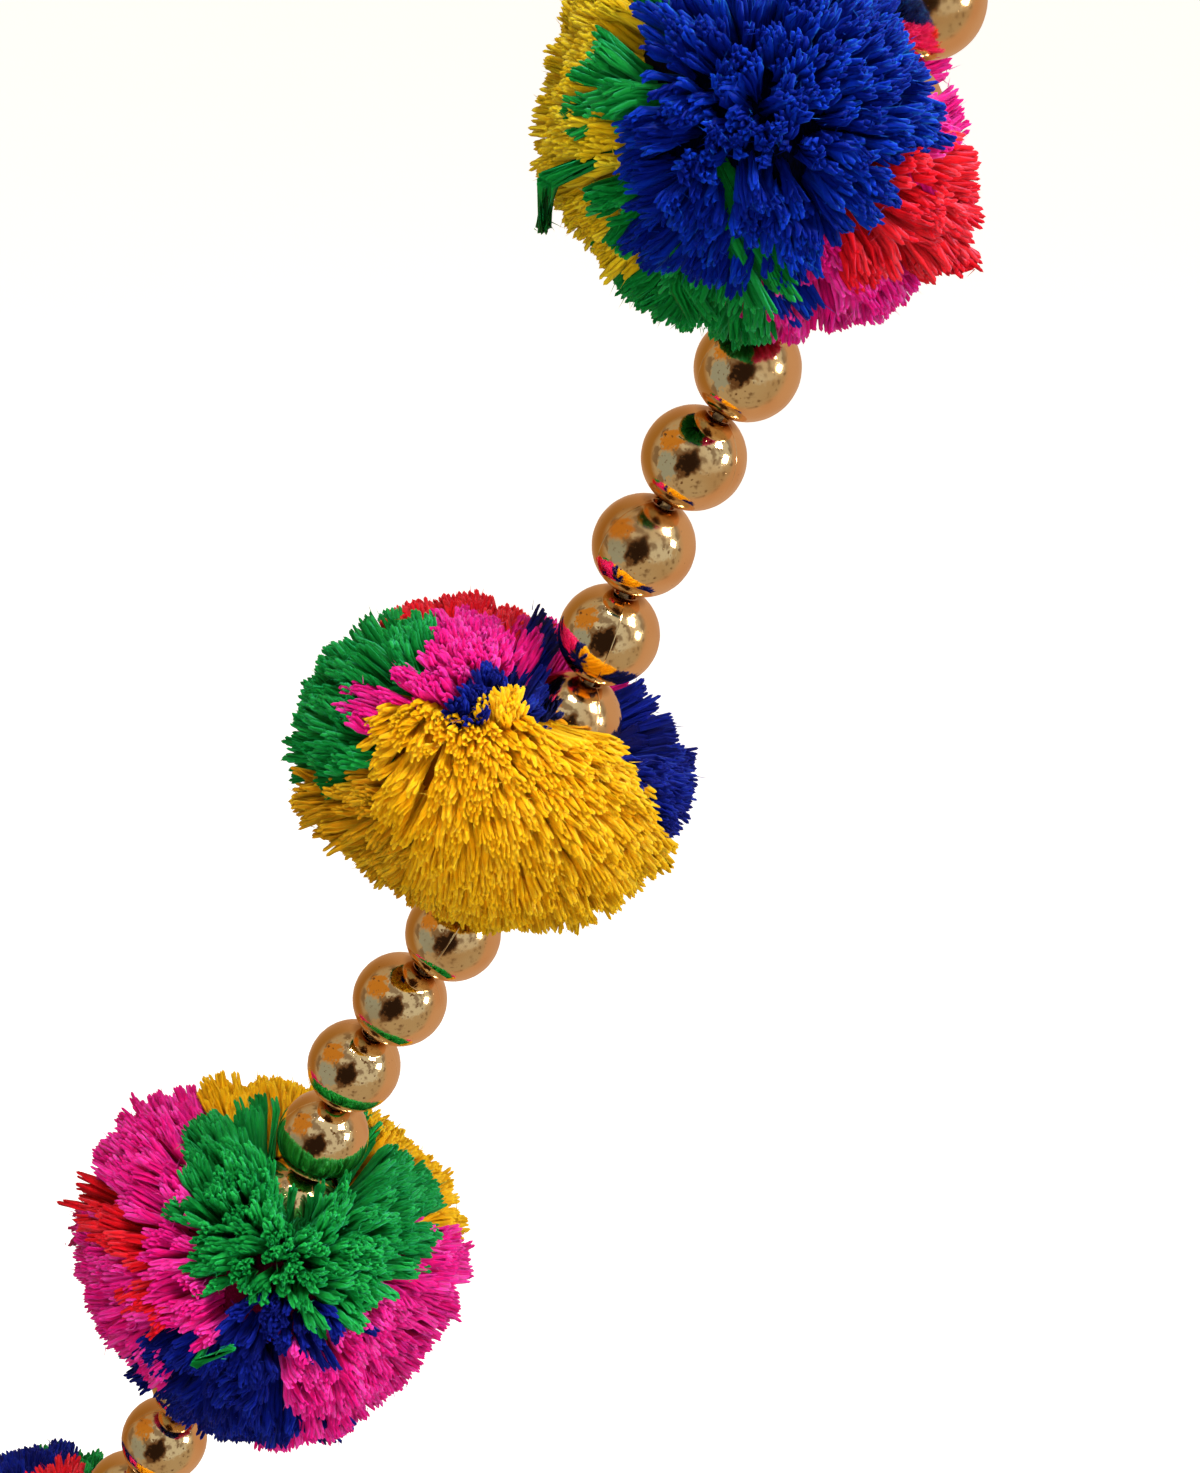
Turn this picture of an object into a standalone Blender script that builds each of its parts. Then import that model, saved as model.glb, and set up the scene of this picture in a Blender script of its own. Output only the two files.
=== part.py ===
"""Pom pom toran: a strand of yarn pompoms and gold beads on a cord, with a loop at each end.

Metres, +Z up. The strand lies in the XZ plane with its front towards -Y, and it slants down
towards -X as it does when both ends are held. The origin is inside the upper loop, where a hook
bears. Beads, pompoms and knots are worked out from the runs and headings below, top to bottom.
"""
import math
import random

import bmesh
import bpy
from mathutils import Matrix, Vector

MM = 0.001

# Beads: turned balls with flat rims and a bore through them
BEAD_RADIUS = 5.0 * MM
BEAD_RIM = 4.85 * MM
BEAD_BORE = 1.0 * MM
BEAD_PITCH = 10.2 * MM
BEAD_SIDES = 12
BEAD_BANDS = 6

# Stringing cord
CORD_RADIUS = 0.6 * MM
CORD_BEVEL = 2
CORD_STEP = 5.2 * MM
TOUCH_GAP = 0.3 * MM

# End loops: a knot, and a loop of the cord above or below it
KNOT_RADIUS = 2.3 * MM
KNOT_FLAT = 2.1 * MM
KNOT_SIDES = 10
KNOT_BANDS = 4
LOOP_RADIUS = 5.0 * MM
LOOP_REACH = 13.0 * MM
LOOP_LEG_GAP = 0.9 * MM
LOOP_STEPS = 18
LEG_STEPS = 3
CAP_WELD = 0.001 * MM

# Pompoms: a tied core that the cord passes through, and locks of cut yarn
CORE_RADIUS = 11.0 * MM
CORE_BORE = 1.8 * MM
CORE_SHIFT = 0.5
NEST_RADIUS = 5.7 * MM
LOCK_GAP = 1.1 * MM
LOCK_SHRINK = 0.86
LOCK_SHOULDER = 0.93
LOCK_CLEAR = 5.45 * MM
LOCK_LEAST = 1.5 * MM
LOCK_JITTER = 0.05
DIRECTION_JITTER = 0.06
STEER_NEAR = math.radians(22)
STEER_FAR = math.radians(75)

# Runs of beads from the top: name, and the heading of each step down it in degrees from plumb
RUNS = (
    ("a", (27, 24, 20, 17)),
    ("b", (28, 27, 19, 21)),
    ("c", (35, 31, 22, 22)),
    ("d", (25, 30, 27)),
    ("e", (25, 23, 21, 20)),
)

# Pompoms from the top, one below each of the first four runs. span is the way along the cord
# from bead to bead, and left, up and front say how far the yarn's middle lies off the cord's.
# width, depth and height are the ball's radii to the left, to the front and along the cord.
# All but heading are in mm.
POMPOM_COLUMNS = ("heading", "span", "left", "up", "front", "width", "depth", "height")
POMPOMS = (
    (26, 26.5, 10.0, 8.6, 2.0, 21.4, 21.3, 20.5),
    (26, 28.5, 5.0, 6.8, 1.5, 21.0, 18.5, 15.4),
    (26, 29.5, -0.5, 6.0, 1.0, 22.2, 21.0, 19.5),
    (25, 28.5, 1.0, 1.0, 0.0, 22.0, 22.0, 21.0),
)

# The point in front of the strand, in mm from bead a4, from which the colours are told
VIEWPOINT = (-28.2, -226.6, 58.0)

# Colour patches: pompom, yarn, then the patch's middle as seen from the viewpoint in ball radii
# to the right and up, the side it is on (1 near, -1 far), and its size in degrees
PATCH_COLUMNS = ("pompom", "yarn", "right", "up", "side", "size")
PATCHES = (
    (1, "blue", 0.00, 0.05, 1, 40),
    (1, "blue", 0.38, -0.15, 1, 24),
    (1, "blue", 0.02, -0.52, 1, 18),
    (1, "yellow", -0.84, 0.25, 1, 20),
    (1, "yellow", -0.80, -0.30, 1, 18),
    (1, "green", -0.60, 0.22, 1, 9),
    (1, "green", -0.40, -0.76, 1, 18),
    (1, "pink", 0.25, -0.76, 1, 16),
    (1, "red", 0.68, -0.45, 1, 18),
    (1, "pink", 0.88, 0.00, 1, 12),
    (1, "yellow", -0.85, 0.10, -1, 30),
    (1, "green", -0.30, -0.80, -1, 25),
    (1, "pink", 0.40, -0.75, -1, 25),
    (1, "pink", 0.88, 0.15, -1, 25),
    (1, "green", 0.10, 0.90, -1, 30),
    (1, "blue", -0.05, 0.05, -1, 38),
    (2, "amber", 0.00, -0.25, 1, 38),
    (2, "amber", 0.55, -0.20, 1, 26),
    (2, "amber", -0.49, 0.05, 1, 16),
    (2, "blue", 0.05, 0.48, 1, 13),
    (2, "blue", 0.90, 0.15, 1, 22),
    (2, "green", -0.72, 0.45, 1, 24),
    (2, "yellow", -0.82, -0.45, 1, 24),
    (2, "pink", -0.08, 0.78, 1, 20),
    (2, "pink", -0.50, 0.45, 1, 12),
    (2, "red", -0.10, 0.97, 1, 12),
    (2, "green", -0.90, 0.25, -1, 22),
    (2, "yellow", -0.80, -0.40, -1, 24),
    (2, "blue", 0.95, 0.10, -1, 26),
    (2, "amber", 0.30, -0.75, -1, 34),
    (2, "red", -0.10, 0.92, -1, 20),
    (2, "pink", 0.55, 0.70, -1, 22),
    (2, "green", 0.10, 0.00, -1, 38),
    (3, "green", 0.15, 0.15, 1, 34),
    (3, "green", 0.60, 0.30, 1, 24),
    (3, "green", -0.12, 0.72, 1, 18),
    (3, "amber", 0.00, 0.97, 1, 12),
    (3, "amber", 0.88, 0.45, 1, 12),
    (3, "pink", -0.70, 0.50, 1, 24),
    (3, "pink", -0.66, -0.10, 1, 20),
    (3, "red", -0.82, 0.30, 1, 8),
    (3, "pink", 0.85, -0.20, 1, 20),
    (3, "pink", 0.40, -0.62, 1, 17),
    (3, "blue", -0.05, -0.38, 1, 13),
    (3, "blue", -0.40, -0.60, 1, 20),
    (3, "amber", 0.10, 0.85, -1, 30),
    (3, "pink", -0.90, 0.30, -1, 28),
    (3, "pink", 0.85, -0.35, -1, 24),
    (3, "blue", -0.30, -0.85, -1, 28),
    (3, "red", 0.00, 0.00, -1, 40),
    (4, "blue", -0.20, 0.70, 1, 30),
    (4, "pink", -0.15, 0.55, 1, 18),
    (4, "red", 0.15, 0.75, 1, 18),
    (4, "green", 0.40, 0.60, 1, 24),
    (4, "amber", 0.30, -0.20, 1, 40),
    (4, "blue", -0.70, -0.30, 1, 34),
    (4, "pink", 0.20, -0.85, 1, 30),
    (4, "green", -0.40, 0.20, -1, 40),
    (4, "red", 0.50, -0.30, -1, 40),
)

# Finishes: colour, roughness and metallic value
FINISHES = {
    "gold": ((0.72, 0.47, 0.24), 0.18, 1.0),
    "cord": ((0.50, 0.36, 0.17), 0.70, 0.0),
    "blue": ((0.003, 0.014, 0.22), 0.90, 0.0),
    "green": ((0.010, 0.20, 0.035), 0.90, 0.0),
    "yellow": ((0.82, 0.50, 0.006), 0.90, 0.0),
    "amber": ((0.93, 0.39, 0.003), 0.90, 0.0),
    "red": ((0.62, 0.006, 0.012), 0.90, 0.0),
    "pink": ((0.72, 0.010, 0.18), 0.90, 0.0),
}
YARNS = ("blue", "green", "yellow", "amber", "red", "pink")


def clear_scene():
    """Removes every object of the open scene."""
    for item in list(bpy.data.objects):
        bpy.data.objects.remove(item, do_unlink=True)


def finish(name):
    """Makes the material of one finish."""
    colour, roughness, metallic = FINISHES[name]
    material = bpy.data.materials.new(name)
    material.use_nodes = True
    shader = material.node_tree.nodes["Principled BSDF"]
    shader.inputs["Base Color"].default_value = (*colour, 1.0)
    shader.inputs["Roughness"].default_value = roughness
    shader.inputs["Metallic"].default_value = metallic
    return material


def link(name, data, place=Matrix.Identity(4)):
    """Adds an object of this data at a place."""
    item = bpy.data.objects.new(name, data)
    bpy.context.scene.collection.objects.link(item)
    item.matrix_world = place
    return item


def mesh_from(name, bm, materials, sharp_angle=None):
    """Turns a bmesh into a mesh with its materials, shaded smooth where an angle is given."""
    mesh = bpy.data.meshes.new(name)
    bm.to_mesh(mesh)
    bm.free()
    for material in materials:
        mesh.materials.append(material)
    if sharp_angle is not None:
        mesh.shade_smooth()
        mesh.set_sharp_from_angle(angle=math.radians(sharp_angle))
    return mesh


def heading_vector(degrees):
    """The unit vector down a step of the strand."""
    angle = math.radians(degrees)
    return Vector((-math.sin(angle), 0.0, -math.cos(angle)))


def lay_strand():
    """Works out where each bead and pompom sits, from the upper knot to the lower one.

    Returns the knot's place, the beads as rows of name and place, and for each pompom the number
    of the bead above it.
    """
    loop_heading = RUNS[0][1][0]
    down = heading_vector(loop_heading)
    knot = Vector((0.0, 0.0, -(LOOP_RADIUS - CORD_RADIUS))) + down * LOOP_REACH
    place = knot + down * (KNOT_FLAT + TOUCH_GAP + BEAD_RADIUS)
    beads = []
    beside = []
    for number, (run, headings) in enumerate(RUNS):
        beads.append((f"bead_{run}1", place.copy()))
        for step, heading in enumerate(headings):
            place += heading_vector(heading) * BEAD_PITCH
            beads.append((f"bead_{run}{step + 2}", place.copy()))
        if number < len(POMPOMS):
            row = dict(zip(POMPOM_COLUMNS, POMPOMS[number]))
            beside.append(len(beads) - 1)
            place += heading_vector(row["heading"]) * row["span"] * MM
    return knot, beads, beside


def tangents(points):
    """The cord's direction at each point: the mean of the steps that meet there."""
    steps = [(b - a).normalized() for a, b in zip(points, points[1:])]
    inner = [(a + b).normalized() for a, b in zip(steps, steps[1:])]
    return [steps[0], *inner, steps[-1]]


def smooth_route(points):
    """Reads points about one step apart from a smooth curve through the route's points."""
    directions = tangents(points)
    route = []
    for k in range(len(points) - 1):
        start, end = points[k], points[k + 1]
        length = (end - start).length
        leave, arrive = directions[k] * length, directions[k + 1] * length
        count = max(1, round(length / CORD_STEP))
        for i in range(count):
            t = i / count
            route.append(start * (2 * t**3 - 3 * t**2 + 1) + leave * (t**3 - 2 * t**2 + t)
                         + end * (3 * t**2 - 2 * t**3) + arrive * (t**3 - t**2))
    route.append(points[-1])
    return route


def cord_curve(name, route):
    """Makes a round cord with filled ends along the route."""
    curve = bpy.data.curves.new(name, "CURVE")
    curve.dimensions = "3D"
    curve.bevel_depth = CORD_RADIUS
    curve.bevel_resolution = CORD_BEVEL
    curve.use_fill_caps = True
    spline = curve.splines.new("POLY")
    spline.points.add(len(route) - 1)
    for point, place in zip(spline.points, route):
        point.co = (*place, 1.0)
    return curve


def turned(profile, sides):
    """Turns a closed or pole-to-pole profile of (radius, height) about Z."""
    bm = bmesh.new()
    rings = []
    for radius, height in profile:
        if radius == 0.0:
            rings.append([bm.verts.new((0.0, 0.0, height))] * sides)
            continue
        angles = [2 * math.pi * i / sides for i in range(sides)]
        rings.append([bm.verts.new((radius * math.cos(a), radius * math.sin(a), height))
                      for a in angles])
    for upper, lower in zip(rings, rings[1:] + rings[:1]):
        for i in range(sides):
            j = (i + 1) % sides
            corners = dict.fromkeys((upper[i], upper[j], lower[j], lower[i]))
            if len(corners) > 2:
                bm.faces.new(list(corners))
    bmesh.ops.recalc_face_normals(bm, faces=bm.faces)
    return bm


def ball_profile(radius, flat, bands):
    """The outer profile of a ball cut flat at both ends, top to bottom."""
    start = math.acos(flat / radius)
    span = math.pi - 2 * start
    angles = [start + span * i / bands for i in range(bands + 1)]
    return [(radius * math.sin(a), radius * math.cos(a)) for a in angles]


def bead_mesh(gold):
    """A ball whose flat rims end at the bore."""
    outer = ball_profile(BEAD_RADIUS, BEAD_RIM, BEAD_BANDS)
    profile = [(BEAD_BORE, BEAD_RIM), *outer[1:-1], (BEAD_BORE, -BEAD_RIM)]
    return mesh_from("bead", turned(profile, BEAD_SIDES), [gold], sharp_angle=50)


def end_loop(name, knot, outward, cord_finish):
    """A knot, and the loop of cord that leaves it outward, made into one solid."""
    side = Vector((0.0, 1.0, 0.0)).cross(outward)
    centre = LOOP_REACH
    swing = math.pi / 2 + math.asin(LOOP_RADIUS / centre)
    arc = [(LOOP_RADIUS * math.sin(a), centre + LOOP_RADIUS * math.cos(a))
           for a in (swing * (2 * i / LOOP_STEPS - 1) for i in range(LOOP_STEPS + 1))]
    foot = (LOOP_LEG_GAP, 0.0)
    leg = [(foot[0] + (arc[-1][0] - foot[0]) * i / LEG_STEPS, arc[-1][1] * i / LEG_STEPS)
           for i in range(LEG_STEPS)]
    outline = [(-x, z) for x, z in leg] + arc + leg[::-1]
    route = [knot + side * x + outward * z for x, z in outline]
    guide = link(f"{name}_guide", cord_curve(f"{name}_guide", route))
    bpy.context.view_layer.update()
    tube = bpy.data.meshes.new_from_object(guide.evaluated_get(bpy.context.evaluated_depsgraph_get()))
    bpy.data.objects.remove(guide, do_unlink=True)
    bm = bmesh.new()
    bm.from_mesh(tube)
    bmesh.ops.remove_doubles(bm, verts=bm.verts, dist=CAP_WELD)
    bmesh.ops.recalc_face_normals(bm, faces=bm.faces)
    loop = link(name, mesh_from(name, bm, [cord_finish], sharp_angle=50))

    outer = ball_profile(KNOT_RADIUS, KNOT_FLAT, KNOT_BANDS)
    profile = [(0.0, KNOT_FLAT), *outer, (0.0, -KNOT_FLAT)]
    ball = mesh_from(f"{name}_knot", turned(profile, KNOT_SIDES), [cord_finish], sharp_angle=50)
    turn = outward.to_track_quat("Z", "Y").to_matrix().to_4x4()
    tie = link(f"{name}_knot", ball, Matrix.Translation(knot) @ turn)
    add_boolean(loop, tie, "UNION")
    return loop


def add_boolean(item, cutter, operation):
    """Joins or cuts the item by a cutter, which stays hidden."""
    cutter.hide_render = True
    cutter.display_type = "WIRE"
    modifier = item.modifiers.new(cutter.name, "BOOLEAN")
    modifier.operation = operation
    modifier.solver = "EXACT"
    modifier.object = cutter


def ray_to_ball(direction, centre, radius):
    """How far along a ray from the origin a ball's far wall lies."""
    along = direction.dot(centre)
    return along + math.sqrt(max(0.0, along**2 + radius**2 - centre.length_squared))


class Ball:
    """One pompom's measures: its frame, the yarn's middle, and how far the yarn reaches."""

    def __init__(self, number, upper, lower, viewpoint):
        row = dict(zip(POMPOM_COLUMNS, POMPOMS[number]))
        self.up = (upper - lower).normalized()
        self.front = Vector((0.0, -1.0, 0.0))
        self.left = self.front.cross(self.up)
        self.middle = (upper + lower) / 2
        offset = (self.left * row["left"] + self.up * row["up"] + self.front * row["front"]) * MM
        self.yarn = self.middle + offset
        self.core = -offset * (1 - CORE_SHIFT)
        self.axes = ((self.left, row["width"] * MM), (self.front, row["depth"] * MM),
                     (self.up, row["height"] * MM))
        self.near = (viewpoint - self.yarn).normalized()
        self.right = Vector((0.0, 0.0, 1.0)).cross(self.near).normalized()
        self.above = self.near.cross(self.right)
        self.patches = [dict(zip(PATCH_COLUMNS, patch)) for patch in PATCHES
                        if patch[0] == number + 1]

    def reach(self, direction):
        """How far the yarn reaches from its middle in a direction."""
        return 1.0 / math.sqrt(sum((direction.dot(axis) / radius)**2 for axis, radius in self.axes))

    def core_wall(self, direction):
        """How far the tied core reaches from the yarn's middle in a direction."""
        return ray_to_ball(direction, self.core, CORE_RADIUS)

    def yarn_colour(self, direction):
        """The number of the yarn whose patch holds a direction."""
        def nearness(patch):
            across = Vector((patch["right"], patch["up"], 0.0))
            depth = math.sqrt(max(0.0, 1.0 - across.length_squared)) * patch["side"]
            middle = self.right * across.x + self.above * across.y + self.near * depth
            return direction.angle(middle) / math.radians(patch["size"])
        return YARNS.index(min(self.patches, key=nearness)["yarn"])


def pompom(name, ball, beads, materials):
    """A core with a lock of yarn on each face, bare where the beads nest and the cord passes."""
    rng = random.Random(name)
    nests = [place - ball.yarn for place in beads]
    bm = bmesh.new()
    bmesh.ops.create_icosphere(bm, subdivisions=2, radius=1.0)
    turn = min(nests, key=lambda nest: nest.length).to_track_quat("Z", "Y")
    for vert in bm.verts:
        wobble = Vector([rng.uniform(-1, 1) for _ in range(3)]) * DIRECTION_JITTER
        direction = (turn @ vert.co + wobble).normalized()
        for nest in nests:
            direction = steer_clear(direction, nest)
        vert.co = direction * ball.core_wall(direction)
    bm.normal_update()

    locks = [face for face in bm.faces if lock_is_free(face, ball, nests)]
    bmesh.ops.inset_individual(bm, faces=locks, thickness=LOCK_GAP / 2, use_even_offset=True)
    grown = bmesh.ops.extrude_discrete_faces(bm, faces=locks)["faces"]
    for face in grown:
        length = 1.0 + rng.uniform(-LOCK_JITTER, LOCK_JITTER)
        middle = face.calc_center_median().normalized()
        face.material_index = ball.yarn_colour(middle)
        for vert in face.verts:
            direction = vert.co.normalized()
            vert.co = direction * ball.reach(direction) * length * LOCK_SHOULDER
        for wall in {near for edge in face.edges for near in edge.link_faces}:
            wall.material_index = face.material_index
        tip = bmesh.ops.poke(bm, faces=[face])["verts"][0]
        tip.co = middle * ball.reach(middle) * length
    mesh = mesh_from(name, bm, materials)
    return link(name, mesh, Matrix.Translation(ball.yarn))


def steer_clear(direction, nest):
    """Turns a direction away from a bead, the more the nearer it points to it."""
    apart = direction.angle(nest)
    needed = math.asin(min(1.0, LOCK_CLEAR / nest.length))
    if needed <= STEER_NEAR or not 0.0 < apart < STEER_FAR:
        return direction
    if apart < STEER_NEAR:
        wanted = apart * needed / STEER_NEAR
    else:
        wanted = needed + (STEER_FAR - needed) * (apart - STEER_NEAR) / (STEER_FAR - STEER_NEAR)
    return Matrix.Rotation(wanted - apart, 3, nest.cross(direction).normalized()) @ direction


def lock_is_free(face, ball, nests):
    """True where a lock on this face would be long enough and would clear every bead."""
    middle = face.calc_center_median()
    corners = [middle.lerp(vert.co, LOCK_SHRINK) for vert in face.verts]
    sides = [(a + b) / 2 for a, b in zip(corners, corners[1:] + corners[:1])]
    for foot in corners + sides + [middle]:
        direction = foot.normalized()
        reach = ball.reach(direction)
        if reach * LOCK_SHOULDER - foot.length < LOCK_LEAST:
            return False
        for nest in nests:
            nearest = min(max(nest.dot(direction), foot.length), reach)
            if (direction * nearest - nest).length < LOCK_CLEAR:
                return False
    return True


def string_cutters(name, upper, lower):
    """The bore along the cord and the nests of the two beads, as hidden cutters."""
    axis = (upper - lower).normalized()
    turn = axis.to_track_quat("Z", "Y").to_matrix().to_4x4()
    length = (upper - lower).length
    half = length / 2 + BEAD_RADIUS
    bore = turned([(0.0, half), (CORE_BORE, half), (CORE_BORE, -half), (0.0, -half)], BEAD_SIDES)
    place = Matrix.Translation((upper + lower) / 2) @ turn
    cutters = [link(f"{name}_bore", mesh_from(f"{name}_bore", bore, []), place)]
    for label, bead in (("upper", upper), ("lower", lower)):
        bm = bmesh.new()
        bmesh.ops.create_icosphere(bm, subdivisions=2, radius=NEST_RADIUS)
        mesh = mesh_from(f"{name}_{label}_nest", bm, [])
        cutters.append(link(mesh.name, mesh, Matrix.Translation(bead) @ turn))
    return cutters


def main():
    """Builds the cord, its beads, its pompoms and its end loops."""
    clear_scene()
    finishes = {name: finish(name) for name in FINISHES}
    knot, beads, beside = lay_strand()
    places = [place for _, place in beads]
    last = heading_vector(RUNS[-1][1][-1])
    end_reach = KNOT_FLAT + TOUCH_GAP + BEAD_RADIUS
    lower_knot = places[-1] + last * end_reach
    first = heading_vector(RUNS[0][1][0])

    start = knot + first * (KNOT_FLAT + TOUCH_GAP)
    end = lower_knot - last * (KNOT_FLAT + TOUCH_GAP)
    cord = link("stringing_cord", cord_curve("stringing_cord", smooth_route([start, *places, end])))
    cord.data.materials.append(finishes["cord"])
    end_loop("upper_loop", knot, -first, finishes["cord"])
    end_loop("lower_loop", lower_knot, last, finishes["cord"])

    shared_bead = bead_mesh(finishes["gold"])
    for (name, place), direction in zip(beads, tangents(places)):
        turn = (-direction).to_track_quat("Z", "Y").to_matrix().to_4x4()
        link(name, shared_bead, Matrix.Translation(place) @ turn)

    viewpoint = dict(beads)["bead_a4"] + Vector(VIEWPOINT) * MM
    yarns = [finishes[name] for name in YARNS]
    for number, above in enumerate(beside):
        name = f"pompom_{number + 1}"
        upper, lower = places[above], places[above + 1]
        ball = Ball(number, upper, lower, viewpoint)
        item = pompom(name, ball, places[above - 1:above + 3], yarns)
        for cutter in string_cutters(name, upper, lower):
            add_boolean(item, cutter, "DIFFERENCE")


main()
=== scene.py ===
"""Looks of the pom pom toran strand: cut yarn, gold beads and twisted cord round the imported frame.

Metres, +Z up. Every piece is placed from the frame's own beads, and nothing of the frame is moved.
Sizes that a maker would read off the strand are in millimetres.
"""
from __future__ import annotations

import logging
import math
from dataclasses import dataclass, field
from enum import Enum

import bpy
import numpy as np
from mathutils import Matrix, Vector

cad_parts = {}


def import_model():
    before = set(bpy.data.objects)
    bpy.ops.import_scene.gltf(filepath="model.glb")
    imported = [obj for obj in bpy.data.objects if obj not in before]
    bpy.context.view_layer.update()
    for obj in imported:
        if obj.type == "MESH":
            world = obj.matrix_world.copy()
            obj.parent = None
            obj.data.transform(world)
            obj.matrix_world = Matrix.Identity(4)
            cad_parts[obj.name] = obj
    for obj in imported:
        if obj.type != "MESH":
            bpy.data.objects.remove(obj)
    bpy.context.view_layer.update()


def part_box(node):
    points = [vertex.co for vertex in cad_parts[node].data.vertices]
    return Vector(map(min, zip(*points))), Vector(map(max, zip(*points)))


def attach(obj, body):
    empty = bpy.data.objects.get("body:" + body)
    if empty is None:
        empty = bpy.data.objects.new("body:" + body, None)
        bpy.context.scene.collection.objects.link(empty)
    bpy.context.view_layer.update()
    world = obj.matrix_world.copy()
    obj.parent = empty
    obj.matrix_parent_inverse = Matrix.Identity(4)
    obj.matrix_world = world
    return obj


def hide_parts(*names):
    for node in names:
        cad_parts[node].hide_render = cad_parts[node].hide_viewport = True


MM = 0.001
BODY = "root"
LOG = logging.getLogger("toran")

Colour = tuple[float, float, float]

# The strand from the top: each run of beads, with a pompom between one run and the next
RUNS = {"a": 5, "b": 5, "c": 5, "d": 4, "e": 5}
BEAD_RADIUS = 5.0 * MM

# The photograph's camera: its place from bead a4, its tilt and its lens
VIEW_BEAD = "bead_a4"
VIEW_OFFSET = Vector((-28.2, -226.59, 58.05)) * MM
VIEW_TILT = math.radians(60)
VIEW_LENS = 64.23
VIEW_SENSOR = 36.0


class Yarn(Enum):
    """The dyed yarns of the strand."""

    BLUE = "blue"
    NAVY = "navy"
    GREEN = "green"
    YELLOW = "yellow"
    AMBER = "amber"
    MUSTARD = "mustard"
    RED = "red"
    PINK = "pink"


class Side(Enum):
    """The half of a pompom that a bundle of yarn is on, as seen from the photograph's camera."""

    NEAR = 1
    FAR = -1


# Sums on rows of points

def unit(rows: np.ndarray) -> np.ndarray:
    """Scales vectors to length one."""
    return rows / np.maximum(np.linalg.norm(rows, axis=-1, keepdims=True), 1e-12)


def dots(rows: np.ndarray, other: np.ndarray) -> np.ndarray:
    """Dot product of vectors that lie along the last axis."""
    return np.sum(rows * other, axis=-1)


def even_directions(count: int) -> np.ndarray:
    """Spreads directions evenly over a ball.

    Args:
        count: How many directions.

    Returns:
        One unit vector a row.
    """
    steps = np.arange(count) + 0.5
    height = 1 - 2 * steps / count
    turn = math.pi * (1 + math.sqrt(5)) * steps
    width = np.sqrt(1 - height**2)
    return np.stack([width * np.cos(turn), width * np.sin(turn), height], axis=1)


def as_seen(right: float, up: float, near: float) -> Vector:
    """Turns a way that the camera sees into the world's frame."""
    return Matrix.Rotation(VIEW_TILT, 3, "X") @ Vector((right, up, near))


def centre_of(node: str) -> np.ndarray:
    """The middle of a node of the frame."""
    low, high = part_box(node)
    return np.array((low + high) / 2)


# Meshes from rows of points

@dataclass
class Surface:
    """Points, faces and the values that the finishes read, kept until they become one mesh."""

    points: np.ndarray
    quads: np.ndarray
    triangles: np.ndarray
    values: dict[str, np.ndarray] = field(default_factory=dict)

    def joined(self, other: "Surface") -> "Surface":
        """Adds another surface after this one.

        Args:
            other: A surface with the same named values.

        Returns:
            Both surfaces as one.
        """
        start = len(self.points)
        return Surface(
            np.concatenate([self.points, other.points]),
            np.concatenate([self.quads, other.quads + start]),
            np.concatenate([self.triangles, other.triangles + start]),
            {name: np.concatenate([self.values[name], other.values[name]]) for name in self.values},
        )

    def mesh(self, name: str) -> bpy.types.Mesh:
        """Makes the mesh, shaded smooth, with its values as attributes.

        Args:
            name: The mesh's name.

        Returns:
            The new mesh.
        """
        mesh = bpy.data.meshes.new(name)
        mesh.vertices.add(len(self.points))
        mesh.vertices.foreach_set("co", self.points.astype(np.float32).ravel())
        corners = np.concatenate([self.quads.ravel(), self.triangles.ravel()]).astype(np.int32)
        sizes = np.concatenate([np.full(len(self.quads), 4), np.full(len(self.triangles), 3)])
        starts = np.concatenate([[0], np.cumsum(sizes)[:-1]]).astype(np.int32)
        mesh.loops.add(len(corners))
        mesh.loops.foreach_set("vertex_index", corners)
        mesh.polygons.add(len(sizes))
        mesh.polygons.foreach_set("loop_start", starts)
        for label, rows in self.values.items():
            kind = "FLOAT" if rows.ndim == 1 else "FLOAT_VECTOR"
            key = "value" if rows.ndim == 1 else "vector"
            attribute = mesh.attributes.new(label, kind, "POINT")
            attribute.data.foreach_set(key, rows.astype(np.float32).ravel())
        mesh.update(calc_edges=True)
        mesh.validate()
        mesh.shade_smooth()
        return mesh


def ways_along(paths: np.ndarray) -> tuple[np.ndarray, np.ndarray, np.ndarray]:
    """Finds the way along each path and two ways square to it.

    Args:
        paths: Tubes by rings by three.

    Returns:
        The way along and both ways across, each tubes by rings by three.
    """
    tangent = unit(np.gradient(paths, axis=1))
    steep = np.abs(tangent[:, :1, 2:]) > 0.8
    reference = np.where(steep, np.array([1.0, 0.0, 0.0]), np.array([0.0, 0.0, 1.0]))
    across = unit(np.cross(tangent, reference))
    return tangent, across, np.cross(tangent, across)


def lengths_along(paths: np.ndarray) -> np.ndarray:
    """How far each ring is along its path, in mm."""
    steps = np.linalg.norm(np.diff(paths, axis=1), axis=-1) / MM
    return np.concatenate([np.zeros((len(paths), 1)), np.cumsum(steps, axis=1)], axis=1)


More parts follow.
